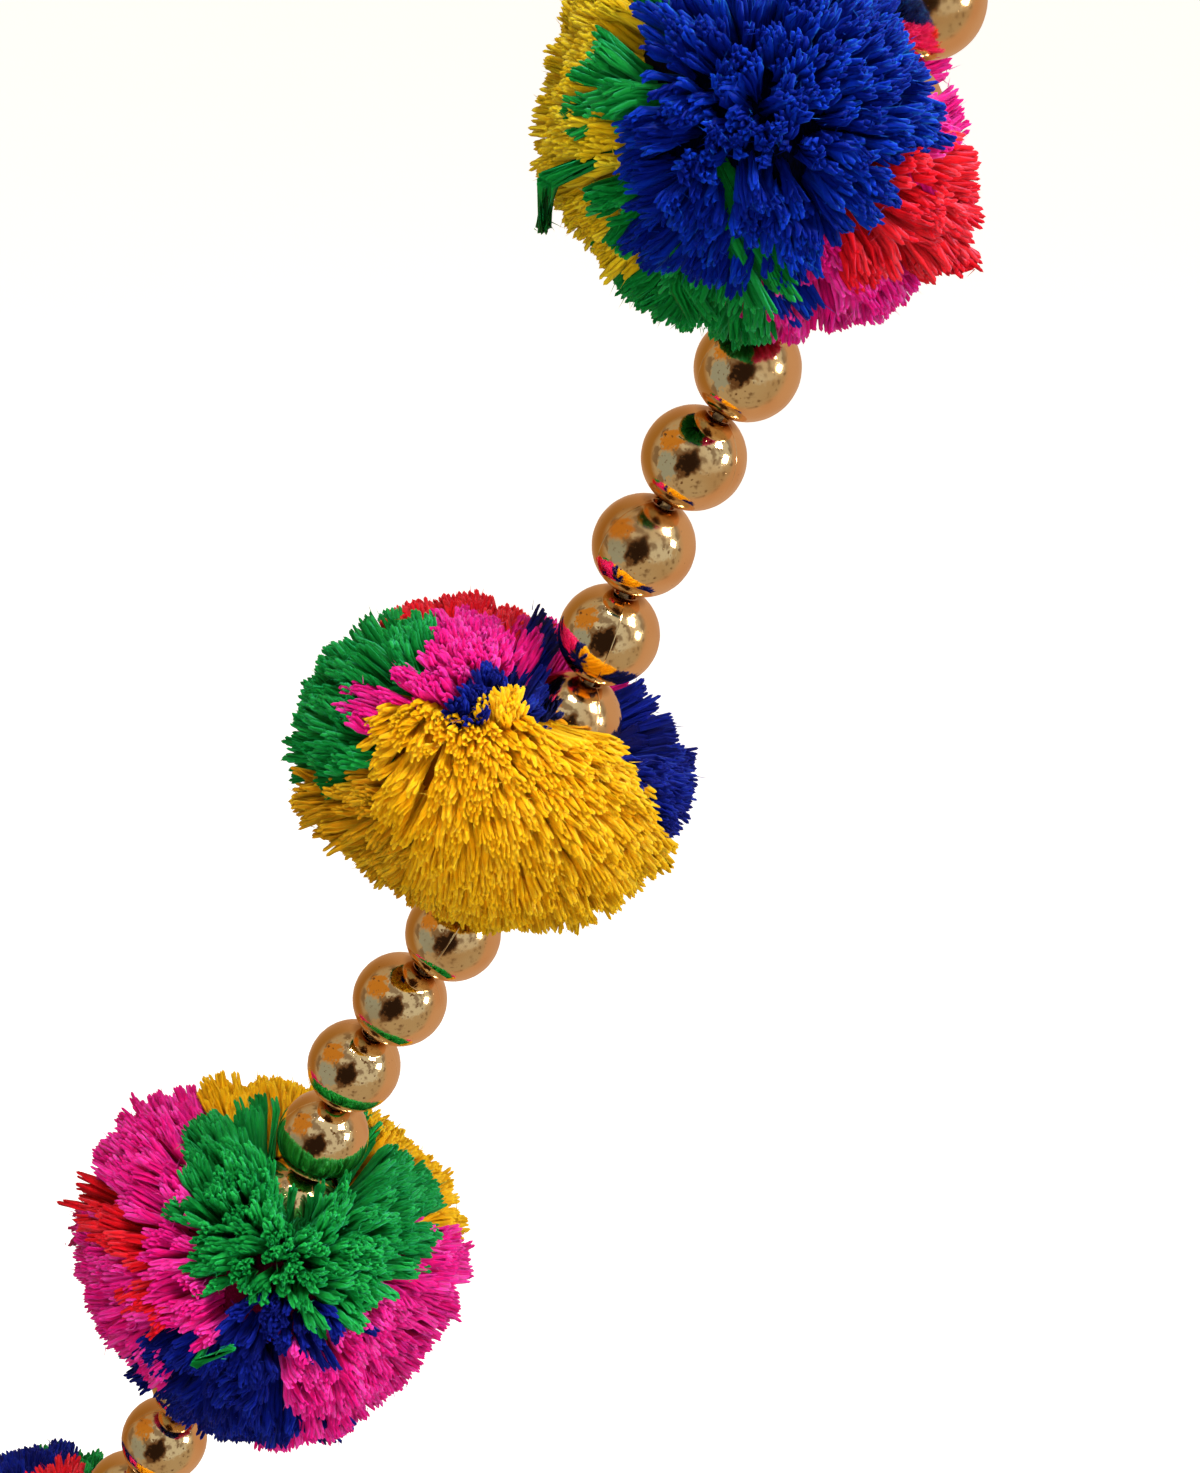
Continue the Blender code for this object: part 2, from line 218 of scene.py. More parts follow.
def spikes(feet: np.ndarray, tips: np.ndarray, radius: float) -> Surface:
    """Makes fine three-sided fibres that run to a point.

    Args:
        feet: Where each starts, one row a fibre.
        tips: Where each ends.
        radius: Their radius at the foot, in metres.

    Returns:
        The fibres, with each point's place along as the value fibre, in mm.
    """
    count = len(feet)
    _, across, aside = ways_along(np.stack([feet, tips], axis=1))
    turn = 2 * math.pi * np.arange(3)[:, None] / 3
    rings = feet[:, None] + (across[:, :1] * np.cos(turn) + aside[:, :1] * np.sin(turn)) * radius
    points = np.concatenate([rings, tips[:, None]], axis=1)
    faces = np.array([[0, 1, 3], [1, 2, 3], [2, 0, 3], [0, 2, 1]])
    triangles = (faces + 4 * np.arange(count)[:, None, None]).reshape(-1, 3)
    fibre = (points - feet[:, None]) / MM
    return Surface(points.reshape(-1, 3), np.zeros((0, 4), int), triangles,
                   {"fibre": fibre.reshape(-1, 3)})


def swept(paths: np.ndarray, radii: np.ndarray, spin: np.ndarray, tip: float) -> Surface:
    """Sweeps many closed tubes at once, each with a flat foot and a low pointed tip.

    Args:
        paths: Tubes by rings by three.
        radii: Tubes by rings by sides.
        spin: Tubes by rings, the turn of each ring in radians.
        tip: How far the tip stands past the last ring, in metres.

    Returns:
        The tubes, with each point's way round and along as the value fibre, in mm.
    """
    count, rings, sides = radii.shape
    tangent, across, aside = ways_along(paths)
    turn = 2 * math.pi * np.arange(sides) / sides
    angle = spin[..., None] + turn
    outward = (across[:, :, None] * np.cos(angle)[..., None]
               + aside[:, :, None] * np.sin(angle)[..., None])
    walls = (paths[:, :, None] + outward * radii[..., None]).reshape(count, rings * sides, 3)
    tips = paths[:, -1:] + tangent[:, -1:] * tip
    points = np.concatenate([walls, tips], axis=1)

    ring, side = np.meshgrid(np.arange(rings - 1), np.arange(sides), indexing="ij")
    following = (side + 1) % sides
    quads = np.stack([ring * sides + side, ring * sides + following,
                      (ring + 1) * sides + following, (ring + 1) * sides + side], axis=-1)
    around = np.arange(sides)
    top = (rings - 1) * sides
    cap = np.stack([top + around, top + (around + 1) % sides, np.full(sides, rings * sides)],
                   axis=-1)
    fan = np.arange(1, sides - 1)
    foot = np.stack([np.zeros_like(fan), fan + 1, fan], axis=-1)
    triangles = np.concatenate([cap, foot])
    starts = (np.arange(count) * (rings * sides + 1))[:, None, None]

    along = lengths_along(paths)
    fibre = np.stack(np.broadcast_arrays(radii / MM * np.cos(turn), radii / MM * np.sin(turn),
                                         along[..., None]), axis=-1).reshape(count, -1, 3)
    end = np.stack([np.zeros(count), np.zeros(count), along[:, -1]], axis=-1)[:, None]
    return Surface(
        points.reshape(-1, 3),
        (quads.reshape(1, -1, 4) + starts).reshape(-1, 4),
        (triangles.reshape(1, -1, 3) + starts).reshape(-1, 3),
        {"fibre": np.concatenate([fibre, end], axis=1).reshape(-1, 3)},
    )


def turned(profile: np.ndarray, sides: int) -> Surface:
    """Turns a closed profile about Z.

    Args:
        profile: Rows of radius and height, going down the outside and back up the bore.
        sides: How many sides the round has.

    Returns:
        The turned surface.
    """
    turn = 2 * math.pi * np.arange(sides) / sides
    points = np.stack([np.outer(profile[:, 0], np.cos(turn)), np.outer(profile[:, 0], np.sin(turn)),
                       np.repeat(profile[:, 1:], sides, axis=1)], axis=-1).reshape(-1, 3)
    ring, side = np.meshgrid(np.arange(len(profile)), np.arange(sides), indexing="ij")
    below, following = (ring + 1) % len(profile), (side + 1) % sides
    quads = np.stack([ring * sides + side, below * sides + side,
                      below * sides + following, ring * sides + following], axis=-1)
    return Surface(points, quads.reshape(-1, 4), np.zeros((0, 3), int))


def place_piece(name: str, mesh: bpy.types.Mesh, material: bpy.types.Material,
                nodes: list[str]) -> bpy.types.Object:
    """Adds one piece that rides on the strand and stands for its nodes.

    Args:
        name: The piece's name.
        mesh: Its mesh.
        material: Its finish.
        nodes: The frame's nodes that it stands for.

    Returns:
        The new object.
    """
    mesh.materials.append(material)
    piece = bpy.data.objects.new(name, mesh)
    bpy.context.scene.collection.objects.link(piece)
    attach(piece, BODY)
    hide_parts(*nodes)
    return piece


# Finishes

class Bench:
    """A node tree being wired, with a short call for each kind of step."""

    def __init__(self, tree: bpy.types.NodeTree) -> None:
        """Starts from an empty tree."""
        self.tree = tree
        tree.nodes.clear()

    def add(self, kind: str, inputs: dict | None = None, **settings) -> bpy.types.Node:
        """Adds a node.

        Args:
            kind: The node's type.
            inputs: Values or sockets for its inputs, by name or number.
            settings: Its other settings.

        Returns:
            The new node.
        """
        node = self.tree.nodes.new(kind)
        for key, value in settings.items():
            setattr(node, key, value)
        for key, value in (inputs or {}).items():
            if isinstance(value, bpy.types.NodeSocket):
                self.tree.links.new(value, node.inputs[key])
            else:
                node.inputs[key].default_value = value
        return node

    def sum(self, operation: str, *values) -> bpy.types.NodeSocket:
        """Does a sum on one, two or three values."""
        return self.add("ShaderNodeMath", dict(enumerate(values)), operation=operation).outputs[0]

    def vector(self, operation: str, *values) -> bpy.types.NodeSocket:
        """Does a sum on vectors, and gives the number where the sum makes one."""
        node = self.add("ShaderNodeVectorMath", dict(enumerate(values)), operation=operation)
        return node.outputs["Value" if operation == "DOT_PRODUCT" else "Vector"]

    def mix(self, factor, first, second, blend: str = "MIX") -> bpy.types.NodeSocket:
        """Mixes two colours.

        Args:
            factor: How much of the second, as a number or socket.
            first: The first colour, as a triple or socket.
            second: The second colour, as a triple or socket.
            blend: How they mix.

        Returns:
            The mixed colour.
        """
        node = self.add("ShaderNodeMix", data_type="RGBA", blend_type=blend)
        for number, value in ((0, factor), (6, first), (7, second)):
            if isinstance(value, bpy.types.NodeSocket):
                self.tree.links.new(value, node.inputs[number])
            elif number == 0:
                node.inputs[0].default_value = value
            else:
                node.inputs[number].default_value = (*value, 1.0)
        return node.outputs[2]

    def ease(self, value, low: float, high: float) -> bpy.types.NodeSocket:
        """Eases a value from nought at low to one at high."""
        node = self.add("ShaderNodeMapRange", {0: value, 1: low, 2: high},
                        interpolation_type="SMOOTHSTEP")
        return node.outputs[0]

    def noise(self, vector, scale: float, detail: float = 2.0) -> bpy.types.NodeSocket:
        """Reads cloudy noise at a place."""
        node = self.add("ShaderNodeTexNoise", {"Vector": vector, "Scale": scale, "Detail": detail})
        return node.outputs["Fac"]


def new_material(name: str) -> tuple[bpy.types.Material, Bench]:
    """Makes a material with an empty tree."""
    material = bpy.data.materials.new(name)
    material.use_nodes = True
    return material, Bench(material.node_tree)


@dataclass(frozen=True)
class YarnFinish:
    """One dye of acrylic yarn: fine dark streaks along each strand, and painted shade deep in the
    pile between the strands.

    colour is the yarn's own, deep the painted shade that stands for it down in the pile, and warm
    that of its lightest strands. glow is how far light spreads in it, in mm, and softness how far
    its strands are shaded as one ball.
    """

    name: str
    colour: Colour
    deep: Colour
    warm: Colour
    roughness: float = 0.62
    gloss: float = 0.15
    sheen: float = 0.06
    streak: float = 0.25
    darkest: float = 0.84
    lightness: float = 0.26
    glow: float = 1.0
    softness: float = 0.8

    def tint(self) -> Colour:
        """The colour of the glints: half white and half the dye at its brightest."""
        peak = max(self.warm)
        return tuple(0.5 + 0.5 * channel / peak for channel in self.warm)

    def material(self) -> bpy.types.Material:
        """Makes the material, which reads the values fibre, shade and depth.

        Returns:
            The new material.
        """
        material, bench = new_material(f"yarn_{self.name}")
        fibre = bench.add("ShaderNodeAttribute", attribute_name="fibre").outputs["Vector"]
        shade = bench.add("ShaderNodeAttribute", attribute_name="shade").outputs["Fac"]
        depth = bench.add("ShaderNodeAttribute", attribute_name="depth").outputs["Fac"]
        streaked = bench.vector("MULTIPLY", fibre, (5.0, 5.0, 0.8))
        streaks = bench.noise(streaked, 1.6, 2.0)
        flecks = bench.noise(fibre, 9.0, 1.0)

        dyed = bench.mix(bench.ease(shade, 0.35, 1.0), self.colour, self.warm)
        # Painted shade: by their depth in the pile the strands darken from the dye towards deep
        pile = bench.ease(depth, 0.30, 0.97)
        # tied is the darkest painted shade, a quarter of deep, which the core at depth nought takes
        tied = tuple(channel * 0.25 for channel in self.deep)
        deep = bench.mix(bench.ease(depth, 0.0, 0.30), tied, self.deep)
        colour = bench.mix(pile, deep, dyed)
        dark = tuple(channel * 0.45 for channel in self.colour)
        lines = bench.sum("MULTIPLY", bench.ease(streaks, 0.56, 0.34), self.streak)
        colour = bench.mix(lines, colour, dark)
        tone = bench.sum("MULTIPLY_ADD", shade, self.lightness, self.darkest)
        tone = bench.add("ShaderNodeCombineColor", {0: tone, 1: tone, 2: tone}).outputs[0]
        colour = bench.mix(1.0, colour, tone, "MULTIPLY")

        height = bench.sum("MULTIPLY_ADD", flecks, 0.4, streaks)
        bump = bench.add("ShaderNodeBump", {
            "Strength": 0.30, "Distance": 0.05 * MM, "Height": height})
        shader = bench.add("ShaderNodeBsdfPrincipled", {
            "Base Color": colour, "Roughness": self.roughness, "Specular IOR Level": self.gloss,
            "Subsurface Weight": 0.65, "Subsurface Radius": (1.0, 0.8, 0.8),
            "Subsurface Scale": self.glow * MM, "Specular Tint": (*self.tint(), 1.0),
            "Sheen Weight": self.sheen, "Sheen Roughness": 0.45,
            "Sheen Tint": (*self.warm, 1.0), "Normal": bump.outputs[0]})
        bench.add("ShaderNodeOutputMaterial", {"Surface": shader.outputs[0]})
        return material


@dataclass(frozen=True)
class GoldFinish:
    """Champagne gold plating on a moulded bead, with fine pits, rubbed patches and a mould seam."""

    colour: Colour = (0.90, 0.62, 0.32)
    rubbed: Colour = (0.84, 0.51, 0.23)
    shaded: Colour = (0.42, 0.22, 0.07)
    roughness: float = 0.06
    seam_width: float = 0.10 * MM

    def material(self) -> bpy.types.Material:
        """Makes the material.

        Returns:
            The new material.
        """
        material, bench = new_material("bead_gold")
        place = bench.add("ShaderNodeNewGeometry").outputs["Position"]
        turned_place = bench.add("ShaderNodeTexCoord").outputs["Object"]
        cloud = bench.noise(place, 210.0, 1.0)
        pits = bench.noise(place, 2600.0, 2.0)
        split = bench.add("ShaderNodeSeparateXYZ", {0: turned_place}).outputs
        seam = bench.ease(bench.sum("ABSOLUTE", split[0]), self.seam_width, 0.0)
        rim = bench.ease(bench.sum("ABSOLUTE", split[2]), 4.35 * MM, 4.85 * MM)
        colour = bench.mix(bench.ease(cloud, 0.42, 0.72), self.colour, self.rubbed)
        colour = bench.mix(rim, colour, self.shaded)
        pit = bench.ease(pits, 0.30, 0.22)
        colour = bench.mix(bench.sum("MULTIPLY", pit, 0.6), colour, self.shaded)
        roughness = bench.sum("MULTIPLY_ADD", bench.ease(cloud, 0.35, 0.75), 0.10, self.roughness)
        waves = bench.noise(place, 700.0, 2.0)
        height = bench.sum("MULTIPLY_ADD", seam, 0.10, bench.sum("MULTIPLY", cloud, 1.3))
        height = bench.sum("MULTIPLY_ADD", waves, 0.09, height)
        height = bench.sum("SUBTRACT", height, bench.sum("MULTIPLY", pit, 0.05))
        bump = bench.add("ShaderNodeBump", {
            "Strength": 0.8, "Distance": 0.22 * MM, "Height": height})
        shader = bench.add("ShaderNodeBsdfPrincipled", {
            "Base Color": colour, "Metallic": 1.0, "Roughness": roughness,
            "Normal": bump.outputs[0]})
        bench.add("ShaderNodeOutputMaterial", {"Surface": shader.outputs[0]})
        return material


@dataclass(frozen=True)
class CordFinish:
    """Waxed cotton cord with dark streaks, and painted shade in the grooves between its plies."""

    colour: Colour = (0.46, 0.31, 0.13)
    # groove colours both the dark fibre streaks and the painted shade between the plies
    groove: Colour = (0.12, 0.07, 0.03)
    roughness: float = 0.68

    def material(self) -> bpy.types.Material:
        """Makes the material, which reads the values fibre and shade.

        Returns:
            The new material.
        """
        material, bench = new_material("twisted_cord")
        fibre = bench.add("ShaderNodeAttribute", attribute_name="fibre").outputs["Vector"]
        shade = bench.add("ShaderNodeAttribute", attribute_name="shade").outputs["Fac"]
        streaks = bench.noise(bench.vector("MULTIPLY", fibre, (9.0, 9.0, 1.2)), 1.5, 3.0)
        lines = bench.mix(bench.ease(streaks, 0.35, 0.65), self.groove, self.colour)
        # Painted shade: where shade is nought, in the grooves between the plies, the cord takes the
        # groove colour
        colour = bench.mix(bench.ease(shade, 0.1, 0.8), self.groove, lines)
        bump = bench.add("ShaderNodeBump", {
            "Strength": 0.6, "Distance": 0.05 * MM, "Height": streaks})
        shader = bench.add("ShaderNodeBsdfPrincipled", {
            "Base Color": colour, "Roughness": self.roughness, "Sheen Weight": 0.2,
            "Normal": bump.outputs[0]})
        bench.add("ShaderNodeOutputMaterial", {"Surface": shader.outputs[0]})
        return material


# Each yarn's colour, then its painted shade deep in the pile, then the colour of its lightest
# strands
YARN_FINISHES = {
    Yarn.BLUE: YarnFinish(
        "blue", (0.001, 0.007, 0.17), (0.0005, 0.001, 0.012), (0.002, 0.020, 0.34),
        roughness=0.45, gloss=0.10, sheen=0.0, softness=0.6),
    Yarn.NAVY: YarnFinish(
        "navy", (0.002, 0.004, 0.085), (0.0008, 0.002, 0.012), (0.003, 0.008, 0.18),
        roughness=0.55, gloss=0.06, sheen=0.0),
    Yarn.GREEN: YarnFinish(
        "green", (0.002, 0.150, 0.019), (0.001, 0.030, 0.005), (0.007, 0.26, 0.038),
        gloss=0.08, sheen=0.03),
    Yarn.YELLOW: YarnFinish(
        "yellow", (0.72, 0.42, 0.006), (0.30, 0.14, 0.002), (0.80, 0.53, 0.015)),
    Yarn.AMBER: YarnFinish(
        "amber", (0.96, 0.335, 0.003), (0.84, 0.27, 0.001), (0.98, 0.39, 0.006),
        roughness=0.80, gloss=0.03, sheen=0.0, streak=0.10, glow=2.0, softness=1.6),
    Yarn.MUSTARD: YarnFinish(
        "mustard", (0.50, 0.205, 0.004), (0.12, 0.035, 0.001), (0.70, 0.34, 0.008), gloss=0.06),
    Yarn.RED: YarnFinish(
        "red", (0.68, 0.005, 0.012), (0.26, 0.002, 0.003), (0.80, 0.016, 0.026), gloss=0.10),
    Yarn.PINK: YarnFinish(
        "pink", (0.75, 0.006, 0.175), (0.34, 0.002, 0.05), (0.86, 0.024, 0.29), gloss=0.08),
}


# Pompoms

# How far a strand's root, knee and cut end and the core are from the middle, as shares of the reach
ROOT_REACH = 0.60
KNEE_REACH = 0.82
END_REACH = 0.96
CORE_REACH = 0.66
CORE_CLEAR = 0.3
CORE_COLUMNS, CORE_ROWS = 40, 26

# How far yarn strays: each end, and the edge between bundles, as shares of the ball's radius
END_STRAY = 0.022
EDGE_WAVE, EDGE_STRAY = 0.040, 0.020

# How many ends make a tuft, how unlike in length tufts are, how far a strand's knee strays, and how
# deep a dent is whose yarn can't lean, in mm
TUFT_ENDS = 8
TUFT_RAGGED = 0.9
KNEE_STRAY = 0.25
PRESSED = 3.2

# The furrow between bundles: its width in bundle sizes, and how much narrower between like yarns
FURROW_WIDTH = 0.16
ALIKE_GAP = 2.5

# A ply at its root, its shoulder and its cut end, in ply radii, with its tip in mm
PLY_STEPS = (0.0, 0.82, 1.0)
PLY_SPREAD = (0.8, 0.9, 1.05)
PLY_THICKNESS = (0.90, 1.15, 0.70)
PLY_SIDES = 3
PLY_RAGGED = 0.14
PLY_TIP = 0.24

# Loose fibres: how many to a yarn, how far below its end they start, and their sizes, in mm
HAIRS_A_YARN = 1.8
HAIR_DROP = 2.0
HAIR_LENGTH = (0.5, 1.7)
HAIR_RADIUS = 0.06

# How far a stray lock and its tip stand off the ball, and the room that three yarns take, in mm
LOCK_LIFT = 1.4
LOCK_TIP_LIFT = 1.0
LOCK_YARN = 0.45


@dataclass(frozen=True)
class Bundle:
    """One bundle of cut yarn on a pompom.

    right and up place its middle in ball radii as the camera sees it, size is its half width in
    degrees, rise is how far it domes out in mm, and tuft is how far its ends draw together.
    """

    yarn: Yarn
    right: float
    up: float
    side: Side
    size: float
    rise: float = 0.6
    tuft: float = 0.35


def bundles_of(yarn: Yarn, side: Side, rows: tuple[tuple[float, ...], ...]) -> tuple[Bundle, ...]:
    """Lists bundles of one yarn on one half of a pompom.

    Args:
        yarn: Their yarn.
        side: Their half.
        rows: Each bundle's right, up and size, then its rise and tuft where they aren't the usual.

    Returns:
        The bundles.
    """
    return tuple(Bundle(yarn, right, up, side, *rest) for right, up, *rest in rows)


@dataclass(frozen=True)
class Dent:
    """A place where a bead presses the yarn in, placed as a bundle is, with its depth in mm."""

    right: float
    up: float
    side: Side
    size: float
    depth: float


@dataclass(frozen=True)
class Lock:
    """A single lock of yarn that strays over its neighbours.

    foot and tip are places in ball radii right and up as the camera sees them, and radius is the
    lock's own in mm.
    """

    yarn: Yarn
    foot: tuple[float, float]
    tip: tuple[float, float]
    radius: float


@dataclass
class PomPom:
    """A ball of cut yarn bundles tied on the cord between two beads, with sizes in mm.

    left, up and front move its middle from halfway between the beads above and below, and width,
    depth and height are its radii. comb is how far its tufts lean each their own way, and lay how
    far the roots of its smooth bundles are combed right and up. groove is the furrow between
    bundles. Yarn keeps bead_clear from a bead's middle, is turned aside within parting degrees of
    it, and stands open round it by opening times the room that the bead takes.
    """

    name: str
    above: str
    below: str
    left: float
    up: float
    front: float
    width: float
    depth: float
    height: float
    bundles: tuple[Bundle, ...]
    ends: int = 4200
    plies: int = 3
    ply_radius: float = 0.31
    ply_pitch: float = 20.0
    comb: float = 2.8
    lay: tuple[float, float] = (0.0, 0.0)
    groove: float = 1.2
    bead_clear: float = 5.55
    parting: float = 50.0
    opening: float = 1.0
    dents: tuple[Dent, ...] = ()
    locks: tuple[Lock, ...] = ()
    middle: np.ndarray = field(init=False)
    axes: np.ndarray = field(init=False)
    radii: np.ndarray = field(init=False)
    seen: np.ndarray = field(init=False)
    nests: list[np.ndarray] = field(init=False)
    random: np.random.Generator = field(init=False)

    def settle(self, beads: dict[str, np.ndarray], viewpoint: np.ndarray) -> None:
        """Works out the ball's middle, its frame and the beads that nest in it.

        Args:
            beads: Every bead's place.
            viewpoint: The camera's place.
        """
        upper, lower = beads[self.above], beads[self.below]
        rise = unit(upper - lower)
        front = np.array([0.0, -1.0, 0.0])
        left = np.cross(front, rise)
        shift = left * self.left + rise * self.up + front * self.front
        self.middle = (upper + lower) / 2 + shift * MM
        self.axes = np.stack([left, front, rise])
        self.radii = np.array([self.width, self.depth, self.height]) * MM
        near = unit(viewpoint - self.middle)
        right = unit(np.cross([0.0, 0.0, 1.0], near))
        self.seen = np.stack([right, np.cross(near, right), near])
        order = list(beads)
        first = order.index(self.above) - 1
        self.nests = [beads[name] - self.middle for name in order[first:first + 4]]
        self.random = np.random.default_rng(int(self.name[-1]))

    def towards(self, right: np.ndarray, up: np.ndarray, side: np.ndarray) -> np.ndarray:
        """Turns places on the ball as the camera sees it into directions.

        Args:
            right: Ball radii to the right.
            up: Ball radii up.
            side: One on the near half and minus one on the far half.

        Returns:
            One unit vector a row.
        """
        depth = np.sqrt(np.maximum(0.0, 1 - right**2 - up**2)) * side
        return unit(np.stack([right, up, depth], axis=-1) @ self.seen)

    def middles_of(self, marks: tuple[Bundle | Dent, ...]) -> np.ndarray:
        """The directions of the middles of bundles or dents, one unit vector a row."""
        right, up, side = np.array([(mark.right, mark.up, mark.side.value) for mark in marks]).T
        return self.towards(right, up, side)

    def yarn_numbers(self) -> np.ndarray:
        """Each bundle's place in the list of yarns."""
        return np.array([list(Yarn).index(bundle.yarn) for bundle in self.bundles])

    def reach(self, directions: np.ndarray) -> np.ndarray:
        """How far the yarn reaches from its middle in each direction."""
        return 1 / np.sqrt(np.sum((directions @ self.axes.T / self.radii)**2, axis=-1))

    def steered(self, directions: np.ndarray) -> np.ndarray:
        """Parts directions round the beads, as the cord and beads part the yarn.

        Args:
            directions: One unit vector a row.

        Returns:
            The turned directions.
        """
        reach_limit = math.radians(self.parting)
        for nest in self.nests:
            axis = unit(nest)
            shell = max(np.linalg.norm(nest), self.reach(axis[None])[0] * 0.9)
            needed = math.asin(min(1.0, self.bead_clear * MM / shell)) * self.opening
            apart = np.arccos(np.clip(dots(directions, axis), -1, 1))
            wanted = needed + (reach_limit - needed) * apart / reach_limit
            sideways = unit(directions - axis * np.cos(apart)[:, None])
            bent = axis * np.cos(wanted)[:, None] + sideways * np.sin(wanted)[:, None]
            directions = np.where((apart < reach_limit)[:, None], bent, directions)
        return directions

    def hollow(self, directions: np.ndarray) -> np.ndarray:
        """How far the yarn is pressed in, where a bead lies on it.

        Args:
            directions: One unit vector a row.

        Returns:
            A depth for each direction, in metres.
        """
        depth = np.zeros(len(directions))
        for dent in self.dents:
            middle = self.middles_of((dent,))
            apart = np.degrees(np.arccos(np.clip(directions @ middle[0], -1, 1)))
            depth = np.maximum(depth, dent.depth * MM * np.exp(-(apart / dent.size)**4))
        return depth

    def sorted_ends(self, directions: np.ndarray) -> tuple[np.ndarray, np.ndarray, np.ndarray]:
        """Finds the bundle that each end of yarn belongs to.

        Args:
            directions: One unit vector a row.

        Returns:
            The bundle's number, how near its middle the end is, and how far the next bundle is,
            which counts for more where it is of the same yarn.
        """
        sizes = np.radians([bundle.size for bundle in self.bundles])
        waves = np.sin(directions @ self.random.normal(0, 9, (3, 3)) + self.random.uniform(0, 6, 3))
        stray = self.random.normal(0, EDGE_STRAY, directions.shape)
        wavy = unit(directions + EDGE_WAVE * waves + stray)
        nearness = np.arccos(np.clip(wavy @ self.middles_of(self.bundles).T, -1, 1)) / sizes
        ranks = np.argsort(nearness, axis=1)[:, :2]
        first, second = np.take_along_axis(nearness, ranks, axis=1).T
        yarns = self.yarn_numbers()[ranks]
        alike = yarns[:, 0] == yarns[:, 1]
        return ranks[:, 0], first, (second - first) * np.where(alike, ALIKE_GAP, 1.0)

    def tufted(self, directions: np.ndarray, owner: np.ndarray) -> tuple[np.ndarray, np.ndarray]:
        """Draws the ends of each bundle together into small tufts.

        Args:
            directions: One unit vector a row.
            owner: Each end's bundle.

        Returns:
            The drawn directions, and the number of each end's tuft.
        """
        heads = self.random.choice(len(directions), len(directions) // TUFT_ENDS, replace=False)
        alike = owner[:, None] == owner[heads][None]
        closeness = np.where(alike, directions @ directions[heads].T, -2.0)
        tuft = np.argmax(closeness, axis=1)
        pull = np.array([bundle.tuft for bundle in self.bundles])[owner]
        drawn = directions + (directions[heads][tuft] - directions) * pull[:, None]
        return unit(drawn), tuft

    def lean(self, start: np.ndarray, tuft: np.ndarray, loose: np.ndarray,
             hollow: np.ndarray) -> np.ndarray:
        """Works out how far each end leans aside, alone and with its tuft.

        Args:
            start: Each strand's direction.
            tuft: Each strand's tuft.
            loose: How loose its bundle is.
            hollow: How far it is pressed in, in metres. Pressed yarn doesn't lean.

        Returns:
            A step for each end, in metres.
        """
        lean = self.random.normal(0, 1, start.shape) * (0.30 + 0.9 * loose)[:, None]
        lean += self.random.normal(0, self.comb, start.shape)[tuft] * loose[:, None]
        lean -= start * dots(lean, start)[:, None]
        return lean * (1 - np.clip(hollow / (PRESSED * MM), 0, 1))[:, None] * MM

    def kept_off_beads(self, paths: np.ndarray) -> np.ndarray:
        """Moves the points of paths that lie in a bead out to its surface.

        Args:
            paths: Paths from the ball's middle.

        Returns:
            The paths, clear of the beads.
        """
        for nest in self.nests:
            apart = paths - nest
            distance = np.linalg.norm(apart, axis=-1, keepdims=True)
            pushed = nest + apart / distance * self.bead_clear * MM
            paths = np.where(distance < self.bead_clear * MM, pushed, paths)
        return paths

    def strand_paths(self) -> tuple[np.ndarray, np.ndarray]:
        """Lays every strand from the tied middle to its cut end.

        Returns:
            The paths from the ball's middle, strands by rings by three, and each strand's yarn.
        """
        rng = self.random
        start = even_directions(self.ends)
        start = self.steered(unit(start + rng.normal(0, END_STRAY, start.shape)))
        owner, inward, gap = self.sorted_ends(start)
        drawn, tuft = self.tufted(start, owner)
        loose = np.array([bundle.tuft for bundle in self.bundles])[owner]
        rise = np.array([bundle.rise for bundle in self.bundles])[owner] * MM
        dome = rise * (1 - np.clip(inward, 0, 1)**2)
        furrow = self.groove * MM * np.exp(-(gap / FURROW_WIDTH)**2)
        tuft_length = rng.normal(0, TUFT_RAGGED, len(start))[tuft] * loose * MM
        ragged = rng.normal(0, 1, len(start)) * (0.10 + 0.25 * loose) * MM
        hollow = self.hollow(start)
        reach = self.reach(start) * END_REACH + dome - furrow - hollow + tuft_length + ragged

        root_way = unit(start * 0.80 + self.middles_of(self.bundles)[owner] * 0.20)
        root = root_way * (reach * ROOT_REACH)[:, None]
        knee = unit(root_way * 0.3 + start * 0.7) * (reach * KNEE_REACH)[:, None]
        knee += rng.normal(0, KNEE_STRAY, knee.shape) * MM
        lean = self.lean(start, tuft, loose, hollow)
        knee += lean * 0.3
        lay = (self.seen[0] * self.lay[0] + self.seen[1] * self.lay[1]) * MM
        lay = lay * np.clip((0.25 - loose) / 0.13, 0, 1)[:, None]
        root -= lay
        knee -= lay * 0.4
        end = drawn * reach[:, None] + lean
        steps = np.array(PLY_STEPS)[None, :, None]
        paths = ((1 - steps)**2 * root[:, None] + 2 * steps * (1 - steps) * knee[:, None]
                 + steps**2 * end[:, None])
        return self.kept_off_beads(paths), self.yarn_numbers()[owner]

    def strands(self, paths: np.ndarray) -> Surface:
        """Makes the plies of each yarn, which wind about it and part a little at the cut end.

        Args:
            paths: Yarns by rings by three.

        Returns:
            The plies with the values fibre, shade and depth.
        """
        rng = self.random
        count, rings, _ = paths.shape
        tangent, across, aside = ways_along(paths)
        begin = rng.uniform(0, 1, (count, 1, 1)) + np.arange(self.plies)[None, :, None] / self.plies
        angle = 2 * math.pi * (begin + lengths_along(paths)[:, None] / self.ply_pitch)
        outward = (across[:, None] * np.cos(angle)[..., None]
                   + aside[:, None] * np.sin(angle)[..., None])
        uneven = rng.uniform(0.8, 1.2, (count, self.plies, 1))
        spread = self.ply_radius * MM * np.array(PLY_SPREAD) * uneven
        laid = paths[:, None] + outward * spread[..., None]
        ragged = rng.normal(0, PLY_RAGGED, (count, self.plies, 1)) * MM
        laid[:, :, -1] += tangent[:, None, -1] * ragged
        laid = laid.reshape(-1, rings, 3)

